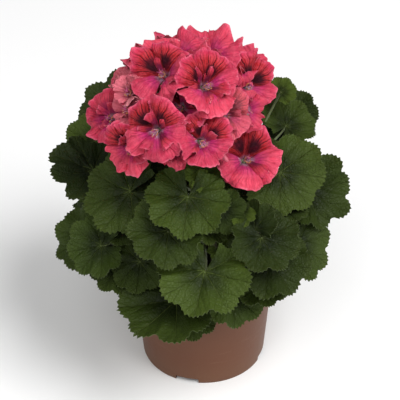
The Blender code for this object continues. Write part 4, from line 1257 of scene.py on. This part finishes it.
def petal_points(bloom, number, petal, u, v, shape):
    """Middle surface of a petal: u from the claw to the edge, v from -1 to 1 across it."""
    middle, axis, up, size, openness = bloom
    azimuth, length, half, widening, tilt, stand = shape
    draw = random.Random(PETAL_SEEDS + 10 * number + petal)
    traits = petal_traits(size, draw)
    edge = ragged_edge(v, traits["phase"], draw)
    reach = length * size * draw.uniform(1.0, 1.10) * edge
    steep = math.radians(68 + 12 * (1 - openness))
    flat = math.radians(-12 + 75 * (1 - openness) + traits["lean"] + stand)
    angle = steep + (flat - steep) * u
    along = CLAW_START + reach * (np.sin(angle) - math.sin(steep)) / (flat - steep)
    rise = 1.2 * MM + reach * (math.cos(steep) - np.cos(angle)) / (flat - steep)
    claw = CLAW_HALF + widening * np.maximum(along - CLAW_START, 0)
    outer = np.clip((u - 0.3) / 0.7, 0, 1)
    across = (1 - outer) * v + outer * np.sin(v * math.pi / 2)
    across = across * (claw**-4 + (half * size) ** -4) ** -0.25
    lift = petal_waves(u, v, size, traits, draw)
    lift = lift + across * tilt * 1.7 * u - 0.05 * size * u * v * v
    along = along - np.sin(angle) * lift
    rise = rise + np.cos(angle) * lift
    base = middle - axis * BLOOM_DEPTH
    return about_axis(base, axis, up, math.radians(azimuth), along, across, rise)


def bloom_cells(blooms):
    """For each bloom, the leaning planes between it and its neighbours."""
    cells = []
    for i, (middle, axis, _, size, _) in enumerate(blooms):
        planes = []
        for j, (other, other_axis, _, other_size, _) in enumerate(blooms):
            between = other - middle
            if i == j or between.length > size + other_size + 12 * MM:
                continue
            outward = (axis + other_axis).normalized()
            over = 1 if i < j else -1
            share = size / (size + other_size)
            point = middle + between * share + between.normalized() * over * 2.0 * MM
            lean = (between.normalized() - outward * 0.55 * over).normalized()
            planes.append((np.array(point), np.array(lean), over))
        cells.append(planes)
    return cells


def level_out(share, reach):
    """A running minimum and then a running mean across a petal, so that no corner stands out."""
    wide = np.pad(share, ((0, 0), (2 * reach, 2 * reach)), mode="edge")
    window = np.lib.stride_tricks.sliding_window_view
    low = window(wide, 2 * reach + 1, axis=1).min(axis=-1)
    return window(low, 2 * reach + 1, axis=1).mean(axis=-1)


def press_into_cell(points, bloom, planes):
    """Bends petals that reach past a neighbour's plane: curled up over it or down under it."""
    free = points
    middle, axis = np.array(bloom.middle), np.array(bloom.axis)
    points = points.copy()
    for point, lean, over in planes:
        reach = OVER_REACH if over > 0 else UNDER_REACH
        past = np.maximum((points - point) @ lean - reach + SOFT_REACH, 0)
        bent = past - SOFT_REACH * (1 - np.exp(-past / SOFT_REACH))
        points -= bent[..., None] * lean
        points += bent[..., None] * axis * 0.35 * over
    anchor = middle - axis * 6 * MM
    share = np.ones(points.shape[:-1])
    for point, lean, over in planes:
        reach = OVER_REACH if over > 0 else UNDER_REACH
        here = (points - point) @ lean
        start = (anchor - point) @ lean
        beyond = here > reach
        cut = (reach - start) / np.where(beyond, here - start, 1)
        share = np.where(beyond, np.minimum(share, cut), share)
    points = anchor + (points - anchor) * share[..., None]
    pressed = np.linalg.norm(points - anchor, axis=-1) / np.linalg.norm(free - anchor, axis=-1)
    level = level_out(pressed, points.shape[1] // 5)
    return anchor + (points - anchor) * (level / pressed)[..., None]


def fine_petals(number, bloom, planes, finish):
    """The petals of one bloom, wide enough to lie over each other like tiles."""
    build = Build()
    extra = EXTRA_PETALS[number] if number < len(EXTRA_PETALS) else 3 + number % 3
    blotch = FAINT_BLOTCHES.get(number, 1.0 if number < len(SEEN_BLOOMS) else BACK_BLOTCHES)
    shapes = [
        (azimuth, length, half * PETAL_BROADER, widening * PETAL_OPENER, tilt, 0)
        for azimuth, length, half, widening, tilt in PETALS
    ]
    draw = random.Random(BLOOM_SEEDS + number)
    for petal, shape in enumerate(shapes + list(PETALOIDS[:extra])):
        inner = petal >= len(PETALS)
        rows, columns = PETALOID_GRID if inner else PETAL_GRID
        along = np.linspace(0, 1, rows) ** 0.9
        u, v = np.meshgrid(along, np.linspace(-1, 1, columns), indexing="ij")
        turned = (
            shape[0] + draw.uniform(-9, 9) * (2 if inner else 1),
            shape[1] * SHORT_PETALS.get((number, petal), 1.0),
            *shape[2:],
        )
        points = petal_points(bloom, number, petal, u, v, turned)
        if inner:
            points = points + np.array(bloom.axis) * 1.5 * MM
        points = press_into_cell(points, bloom, planes).reshape(-1, 3)
        flat = np.stack([0.5 + 0.5 * v, u], axis=-1).reshape(-1, 2)
        traits = np.zeros((len(points), 4))
        traits[:, 0] = blotch if petal in UPPER_PETALS else 0.0
        if inner:
            traits[:, 0] = draw.choice((0.0, 0.5, 0.7)) * blotch
        traits[:, 1] = draw.random()
        traits[:, 2] = PALE_BLOOMS.get(number, 0.0)
        traits[:, 3] = 1
        build.add_shell(points, grid_faces(rows, columns), PETAL_THICKNESS, flat, traits)
    return build.piece(f"petals_of_bloom_{number + 1}", finish)


def polyline_object(name, lines):
    """Open lines as one mesh of edges, each point with its thickness and traits."""
    points, edges, thick, traits = [], [], [], []
    for line, radii, marks in lines:
        start = len(points)
        points += [tuple(p) for p in line]
        edges += [(start + k, start + k + 1) for k in range(len(line) - 1)]
        thick += list(radii)
        traits += list(marks)
    mesh = bpy.data.meshes.new(name)
    mesh.from_pydata(points, edges, [])
    mesh.attributes.new("thick", "FLOAT", "POINT").data.foreach_set("value", thick)
    held = mesh.attributes.new("traits", "FLOAT_COLOR", "POINT")
    held.data.foreach_set("color", np.array(traits, np.float32).ravel())
    return linked(name, mesh)


def spread_radii(stops, count):
    """A few radii spread evenly over the points of a line."""
    return np.interp(np.linspace(0, 1, count), np.linspace(0, 1, len(stops)), stops)


def bezier_line(path, count):
    """Evenly spaced steps along a curve."""
    return [bezier(path, t) for t in np.linspace(0, 1, count)]


def one_tone(line, radii, tone):
    """A line with its radii, and the same traits all along: its tone, and no bark."""
    return line, radii, [(0, tone, 0, 1)] * len(line)


def stalk_lines(shoot, petioles, blooms):
    """Lines of a shoot's stem, flower stalk, pedicels and petioles."""
    lines = []
    foot = stem_point(shoot, 0)
    stem = [foot - Vector((0, 0, STEM_DEPTH * 0.4)), foot + Vector((0, 0, 4 * MM))]
    stem += [stem_point(shoot, t) for t in np.linspace(0.12, 1, 14)]
    radii = STEM_RADIUS * spread_radii((1.0, 0.98, 0.9, 0.8, 0.6), len(stem))
    radii = radii * (1 + 0.07 * np.sin(np.arange(len(stem)) * 2.4 + shoot.number))
    woody = np.clip(1.15 - np.linspace(0, 1.5, len(stem)), 0, 1)
    lines.append((stem, radii, [(0, 0.3, w, 1) for w in woody]))
    if shoot.umbel:
        line = bezier_line(stalk_path(shoot), 14)
        radii = STALK_RADIUS * spread_radii((1.15, 1.0, 0.95, 1.25), 14)
        lines.append(one_tone(line, radii, 0.2))
    for bloom in blooms:
        path = pedicel_path(shoot.umbel, bloom)
        line = bezier_line(path, 12)
        line += [path[3] + bloom.axis * step * MM for step in (1.0, 2.2, 3.1)]
        radii = list(PEDICEL_RADIUS * spread_radii((1.15, 0.9, 0.9, 1.1), 12))
        radii += [1.6 * MM, 2.3 * MM, 2.6 * MM]
        lines.append(one_tone(line, radii, 0.55))
    for leaf, path in petioles:
        end = Vector(blade_points(leaf, np.array([0.02]), np.array([0.0]), 0.0, True)[0])
        line = bezier_line((*path[:3], end), 14)
        radii = PETIOLE_RADIUS * spread_radii((1.5, 1.05, 0.95, 0.9, 0.8), 14)
        lines.append(one_tone(line, radii, 0.25))
    return lines


def sepals(bloom, build):
    """Five narrow green sepals that hold the petals from behind."""
    middle, axis, up, _, _ = bloom
    base = middle - axis * (BLOOM_DEPTH + 2.4 * MM)
    u, v = np.meshgrid(np.linspace(0, 1, 7), np.linspace(-1, 1, 3), indexing="ij")
    lean = 0.25 + 0.65 * u
    along = 2.2 * MM + SEPAL_REACH * u * np.sin(lean)
    rise = SEPAL_REACH * u * np.cos(lean) * 0.75
    half = 2.0 * MM * np.sin(math.pi * (0.22 + 0.75 * u)) ** 0.9
    for k in range(SEPALS):
        turn = math.radians(360 / SEPALS * k + 1)
        points = about_axis(base, axis, up, turn, along, v * half, rise).reshape(-1, 3)
        traits = np.tile((0, 0.35, 0, 1.0), (len(points), 1))
        flat = np.zeros((len(points), 2))
        build.add_shell(points, grid_faces(7, 3), SEPAL_THICKNESS, flat, traits, back_trait=0.0)


def bud_lines(shoot, blooms):
    """Short stalks from an umbel and the unopened buds that nod at their ends."""
    draw = random.Random(BUD_SEEDS + shoot.number)
    throats = [bloom.middle - bloom.axis * BLOOM_DEPTH * 0.6 for bloom in blooms]
    stalks, cups, tips = [], [], []
    for k in range(BUDS_PER_UMBEL):
        azimuth = shoot.azimuth + 360 * k / BUDS_PER_UMBEL + draw.uniform(-25, 25)
        way = unit_polar(azimuth, draw.uniform(60, 95))
        reach = draw.uniform(14, 24) * MM
        start = shoot.umbel
        end = start + way * reach
        if min((throat - end).length for throat in throats) < 9 * MM:
            continue
        leave = start + (way + Vector((0, 0, 0.5))) * reach * 0.4
        path = (start, leave, end + Vector((0, 0, reach * 0.25)), end)
        stalks.append(one_tone(bezier_line(path, 9), [0.8 * MM] * 9, 0.5))
        hang = (way + Vector((0, 0, draw.uniform(-1.2, -0.4)))).normalized()
        size = draw.uniform(0.8, 1.15)
        steps = np.linspace(0, 1, 9)
        line = [end + hang * size * 9 * MM * t for t in steps]
        radii = size * 2.3 * MM * np.sqrt(np.sin(math.pi * np.clip(steps * 0.86 + 0.08, 0, 1)))
        cups.append(one_tone(line, radii, 0.3))
        line = [end + hang * size * (5.5 + 8.5 * t) * MM for t in steps]
        radii = size * 1.9 * MM * np.sqrt(np.sin(math.pi * np.clip(steps * 0.93 + 0.05, 0, 1)))
        tips.append(one_tone(line, radii, 0.5))
    return stalks + cups, tips


def revolve(profile, sides):
    """Solid of revolution from a closed loop of (radius, height), whose ends lie on the axis."""
    points, faces, rings = [], [], []
    for radius, height in profile:
        if radius == 0:
            rings.append([len(points)] * sides)
            points.append(Vector((0, 0, height)))
            continue
        rings.append([len(points) + s for s in range(sides)])
        for s in range(sides):
            angle = 2 * math.pi * s / sides
            points.append(Vector((radius * math.cos(angle), radius * math.sin(angle), height)))
    for lower, upper in zip(rings, rings[1:]):
        for s in range(sides):
            t = (s + 1) % sides
            face = [lower[s], lower[t], upper[t], upper[s]]
            kept = [v for i, v in enumerate(face) if v not in face[:i]]
            if len(kept) > 2:
                faces.append(tuple(kept))
    return points, faces


def wall_radius(height):
    """Outer radius of the pot's tapered wall."""
    return POT_FOOT_RADIUS + (POT_RIM_RADIUS - POT_FOOT_RADIUS) * height / POT_HEIGHT


def simple_object(name, points, faces):
    """A mesh object of some points and faces."""
    mesh = bpy.data.meshes.new(name)
    mesh.from_pydata([tuple(p) for p in points], [], faces)
    mesh.update()
    return linked(name, mesh)


def pot_cutters():
    """Blocks for the foot's notches and posts for its drain holes."""
    made = []
    for azimuth in NOTCH_AZIMUTHS:
        edit = bmesh.new()
        bmesh.ops.create_cube(edit, size=1)
        for vert in edit.verts:
            along, across, height = vert.co
            direction = unit_polar(azimuth, 90)
            side = Vector((-direction.y, direction.x, 0))
            place = direction * (POT_FOOT_RADIUS + along * 18 * MM) + side * across * NOTCH_WIDTH
            level = NOTCH_HEIGHT / 2 - 2 * MM + height * (NOTCH_HEIGHT + 4 * MM)
            vert.co = place + Vector((0, 0, level))
        made.append(edit)
    for k in range(DRAIN_HOLES):
        angle = math.radians(FIRST_DRAIN + 360 * k / DRAIN_HOLES)
        edit = bmesh.new()
        bmesh.ops.create_cone(
            edit, cap_ends=True, segments=20, depth=20 * MM,
            radius1=DRAIN_RADIUS, radius2=DRAIN_RADIUS,
        )
        shift = Vector((DRAIN_RING * math.cos(angle), DRAIN_RING * math.sin(angle), 2 * MM))
        bmesh.ops.translate(edit, vec=shift, verts=edit.verts)
        made.append(edit)
    return made


def apply_all(obj):
    """Turns what an object's modifiers make into its plain mesh."""
    graph = bpy.context.evaluated_depsgraph_get()
    mesh = bpy.data.meshes.new_from_object(obj.evaluated_get(graph))
    obj.modifiers.clear()
    obj.data = mesh


def pot_profile():
    """The pot's section, from the middle of its underside round to the middle of its floor."""
    lip_foot = POT_HEIGHT - LIP_HEIGHT
    below_lip = wall_radius(lip_foot)
    lip = POT_RIM_RADIUS + LIP_OUT
    mouth = POT_RIM_RADIUS - POT_WALL
    foot = [
        (0, 0), (POT_PAD_RADIUS, 0), (POT_PAD_RADIUS + 2 * MM, POT_RECESS),
        (POT_FOOT_RADIUS - 6 * MM, POT_RECESS), (POT_FOOT_RADIUS - 4.5 * MM, 0.3 * MM),
        (POT_FOOT_RADIUS - 4.0 * MM, 0), (POT_FOOT_RADIUS - 0.9 * MM, 0),
        (POT_FOOT_RADIUS - 0.25 * MM, 0.25 * MM), (POT_FOOT_RADIUS, 1.0 * MM),
    ]
    wall = [(wall_radius(h * MM), h * MM) for h in (3, 7, 12, 30, 50, 70, 90)]
    rim = [
        (below_lip - 0.1 * MM, lip_foot), (below_lip + LIP_OUT * 0.8, lip_foot + 0.5 * MM),
        (below_lip + LIP_OUT, lip_foot + 1.4 * MM), (lip, POT_HEIGHT - 1.2 * MM),
        (lip - 0.25 * MM, POT_HEIGHT - 0.35 * MM), (lip - 0.8 * MM, POT_HEIGHT),
        (mouth + 0.4 * MM, POT_HEIGHT), (mouth, POT_HEIGHT - 0.5 * MM),
    ]
    inside = [
        (wall_radius(60 * MM) - POT_WALL, 60 * MM),
        (wall_radius(POT_FLOOR) - POT_WALL, POT_FLOOR), (0, POT_FLOOR),
    ]
    return foot + wall + rim + inside


def cut_pot(obj):
    """Cuts the notches and drain holes out of the turned pot."""
    cutters = bpy.data.collections.new("pot cutters")
    bpy.context.scene.collection.children.link(cutters)
    for k, edit in enumerate(pot_cutters()):
        mesh = bpy.data.meshes.new(f"pot cutter {k}")
        edit.to_mesh(mesh)
        edit.free()
        cutters.objects.link(bpy.data.objects.new(f"pot cutter {k}", mesh))
    cut = obj.modifiers.new("notches", "BOOLEAN")
    cut.operation = "DIFFERENCE"
    cut.operand_type = "COLLECTION"
    cut.collection = cutters
    apply_all(obj)
    for cutter in list(cutters.objects):
        bpy.data.objects.remove(cutter, do_unlink=True)
    bpy.data.collections.remove(cutters)


def make_pot(finish):
    """Turned pot with a rounded lip, a notched foot ring and drain holes."""
    obj = simple_object("nursery_pot", *revolve(pot_profile(), 144))
    cut_pot(obj)
    obj.data.materials.clear()
    obj.data.materials.append(finish)
    obj.data.shade_smooth()
    obj.data.set_sharp_from_angle(angle=math.radians(35))
    return settle(obj, "pot_plastic", "pot")


def make_soil(finish, grains):
    """Soil with an uneven top, and crumbs strewn over it."""
    draw = np.random.default_rng(SOIL_SEED)
    edge = wall_radius(SOIL_TOP) - POT_WALL - 1.0 * MM
    foot = wall_radius(POT_FLOOR) - POT_WALL - 1.0 * MM
    profile = [(0, POT_FLOOR + 0.3 * MM), (foot, POT_FLOOR + 0.3 * MM), (edge, SOIL_TOP - 2 * MM)]
    shares = np.linspace(0.99, 0.05, 22)
    profile += [(edge * share, SOIL_TOP) for share in shares] + [(0, SOIL_TOP)]
    points, faces = revolve(profile, 80)
    for point in points:
        if point.z == SOIL_TOP:
            out = math.hypot(point.x, point.y) / edge
            swell = math.sin(point.x * 190 + 1) * math.cos(point.y * 160) * 0.6 * MM
            point.z += SOIL_MOUND * (1 - out**2) + swell + draw.uniform(-0.5, 0.4) * MM
    obj = simple_object("potting_soil", points, faces)
    obj.data.materials.append(finish)
    obj.data.shade_smooth()
    top = [f for f in faces if all(points[k].z > SOIL_TOP - 1.5 * MM for k in f)]
    bed = simple_object("crumb bed", points, top)
    crumbs = grains.grow("soil_crumbs", bed, Finish=finish)
    bpy.data.objects.remove(bed, do_unlink=True)
    settle(crumbs, "potting_soil")
    return settle(obj, "potting_soil", "soil")


def stamen_lines(base, axis, up, out, length):
    """A filament that bows outward and down from the throat, and the anther across its end."""
    foot = base + out * 0.8 * MM
    steps = np.linspace(0, 1, 6)
    filament = [foot + (axis + out * 0.2 * t - up * 0.25 * t) * length * t for t in steps]
    radii = [0.32 * MM * share for share in (1.2, 1.1, 1, 0.9, 0.8, 0.6)]
    tip = filament[-1]
    side = axis.cross(out).normalized() * 0.9 * MM
    anther = [tip - side, tip - side * 0.4, tip + side * 0.4, tip + side]
    anther_radii = [0.15 * MM, 0.5 * MM, 0.5 * MM, 0.15 * MM]
    return one_tone(filament, radii, 0), one_tone(anther, anther_radii, 0)


def style_lines(base, axis, up):
    """A style and the short arms that spread at its end."""
    style = [base + (axis - up * 0.12 * t) * 11 * MM * t for t in np.linspace(0, 1, 6)]
    lines = [one_tone(style, [0.4 * MM] * 6, 0)]
    tip, left = style[-1], axis.cross(up)
    arm_radii = [0.3 * MM, 0.26 * MM, 0.22 * MM, 0.18 * MM, 0.1 * MM]
    for k in range(STYLE_ARMS):
        turn = 2 * math.pi * k / STYLE_ARMS
        out = up * math.cos(turn) + left * math.sin(turn)
        arm = [tip + (axis * t + out * t * (0.6 + t)) * 1.9 * MM for t in np.linspace(0, 1, 5)]
        lines.append(one_tone(arm, arm_radii, 0))
    return lines


def stamen_parts(blooms):
    """Lines of the filaments, anthers and styles in the throats of all blooms."""
    filaments, anthers, styles = [], [], []
    for number, (middle, axis, up, _, _) in enumerate(blooms):
        draw = random.Random(STAMEN_SEEDS + number)
        base = middle - axis * (BLOOM_DEPTH - 2.2 * MM)
        left = axis.cross(up)
        for k in range(STAMENS):
            turn = 2 * math.pi * (k + draw.uniform(-0.3, 0.3)) / STAMENS
            out = up * math.cos(turn) + left * math.sin(turn)
            filament, anther = stamen_lines(base, axis, up, out, draw.uniform(8, 11) * MM)
            filaments.append(filament)
            anthers.append(anther)
        styles += style_lines(base, axis, up)
    return filaments, anthers, styles


def swept_piece(name, lines, sweep, finish, sides, slot, *nodes):
    """Round stalks along some lines, as one finished piece."""
    guide = polyline_object(name + "_lines", lines)
    obj = sweep.grow(name, guide, Sides=sides, Finish=finish)
    bpy.data.objects.remove(guide, do_unlink=True)
    obj.data.shade_smooth()
    return settle(obj, slot, *nodes)


def make_shoots(shoots, standing, blooms, finish, sweep):
    """Leaves, stalks and hairs of each shoot, which stand for its solid."""
    leaf_finish, down = leaf_green(), flesh("stalk hairs", (0.35, 0.38, 0.25), 0.6)
    hairs = hair_tree()
    grown = blade_pattern(BLADE_ROWS, TEETH_PER_LOBE)
    young = blade_pattern(YOUNG_ROWS, YOUNG_TEETH)
    carriers = [shoot for shoot in shoots if shoot.umbel]
    own_blooms = {shoot.number: [] for shoot in shoots}
    for bloom in blooms:
        foot = bloom.middle - bloom.axis * BLOOM_DEPTH
        carrier = min(carriers, key=lambda shoot: (shoot.umbel - foot).length)
        own_blooms[carrier.number].append(bloom)
    for shoot in shoots:
        own = [(leaf, path) for leaf, holder, path in standing if holder.number == shoot.number]
        node = f"shoot_{shoot.number}"
        build = Build()
        for leaf, _ in own:
            if leaf.number < YOUNG_FROM:
                fine_blade(build, leaf, grown, FRESH_LEAVES.get(leaf.number, USUAL_FRESH))
            else:
                fine_blade(build, leaf, young, YOUNG_FRESH)
        settle(build.piece(f"leaves_of_{node}", leaf_finish), "foliage", node)
        lines = stalk_lines(shoot, own, own_blooms[shoot.number])
        stalks = swept_piece(f"stalks_of_{node}", lines, sweep, finish, 9, "foliage", node)
        fuzz = hairs.grow(f"hairs_of_{node}", stalks, Finish=down, Seed=shoot.number)
        settle(fuzz, "foliage")


def make_blooms(blooms, finish, stalk_finish):
    """The petals of each bloom, which stand for its solid, and the sepals of all."""
    cells = bloom_cells(blooms)
    calyx = Build()
    for number, bloom in enumerate(blooms):
        petals = fine_petals(number, bloom, cells[number], finish)
        settle(petals, "petals", f"bloom_{number + 1}")
        sepals(bloom, calyx)
    settle(calyx.piece("sepals", stalk_finish), "foliage")


def make_buds(shoots, blooms, finish, sweep):
    """Unopened buds under the head."""
    green_parts, tips = [], []
    for shoot in shoots:
        if shoot.umbel:
            green, coral = bud_lines(shoot, blooms)
            green_parts += green
            tips += coral
    coral_finish = flesh("bud coral", (0.62, 0.10, 0.16), 0.5)
    swept_piece("bud_stalks", green_parts, sweep, finish, 8, "foliage")
    swept_piece("bud_tips", tips, sweep, coral_finish, 10, "petals")


def make_stamens(blooms, sweep):
    """Stamens and styles, each kind as one piece."""
    filaments, anthers, styles = stamen_parts(blooms)
    for name, lines, finish in (
        ("filaments", filaments, flesh("filament white", (0.75, 0.45, 0.55), 0.5)),
        ("anthers", anthers, flesh("anther rust", (0.45, 0.16, 0.05), 0.6)),
        ("styles", styles, flesh("style magenta", (0.45, 0.06, 0.20), 0.5)),
    ):
        swept_piece(name, lines, sweep, finish, 6, "petals")


def make_plant():
    """All leaves, stalks and blooms, each where its solid stands."""
    blooms = plan_blooms()
    shoots = plan_shoots()
    standing = stand_leaves(plan_leaves(), shoots)
    standing += young_leaves(shoots, standing, blooms)
    stalk_finish, sweep = stalk_green(), sweep_tree()
    make_shoots(shoots, standing, blooms, stalk_finish, sweep)
    make_blooms(blooms, petal_coral(), stalk_finish)
    make_buds(shoots, blooms, stalk_finish, sweep)
    make_stamens(blooms, sweep)


def make_floor():
    """Plain pale floor, wide enough for every view."""
    corners = [(FLOOR_REACH * x, FLOOR_REACH * y, 0) for x, y in ((-1, -1), (1, -1), (1, 1), (-1, 1))]
    floor = simple_object("floor", corners, [(0, 1, 2, 3)])
    f = Finish("pale floor", 0.9, Specular_IOR_Level=0.1)
    f.colour((0.93, 0.93, 0.93))
    floor.data.materials.append(f.material)


def aimed(name, data, place, direction):
    """An object of the studio, such as a light, that looks in a direction."""
    obj = linked(name, data)
    obj.location = place
    obj.rotation_mode = "QUATERNION"
    obj.rotation_quaternion = direction.to_track_quat("-Z", "Y")
    return obj


def add_light(name, place, size, power):
    """A round soft light aimed at the middle of the plant."""
    data = bpy.data.lights.new(name, "AREA")
    data.shape = "DISK"
    data.size = size
    data.energy = power
    aimed(name, data, place, LIGHT_AIM - Vector(place))


def make_studio():
    """Soft studio light, and a camera at the photograph's viewpoint."""
    world = bpy.data.worlds.new("studio")
    world.use_nodes = True
    background = world.node_tree.nodes["Background"]
    background.inputs["Color"].default_value = (1, 1, 1, 1)
    background.inputs["Strength"].default_value = 0.30
    bpy.context.scene.world = world
    bpy.context.scene.view_settings.view_transform = "Standard"
    add_light("key", (1.75, -1.40, 3.1), size=2.6, power=140)
    add_light("front", (-1.12, -2.4, 2.92), size=2.8, power=60)
    view = bpy.data.cameras.new("camera")
    view.lens = LENS
    view.sensor_width = SENSOR_WIDTH
    view.clip_start = CLIP_START
    bpy.context.scene.camera = aimed("camera", view, VIEWPOINT, VIEW_FORWARD)


make_studio()
make_floor()
make_pot(pot_plastic())
make_soil(peat(), grain_tree())
make_plant()
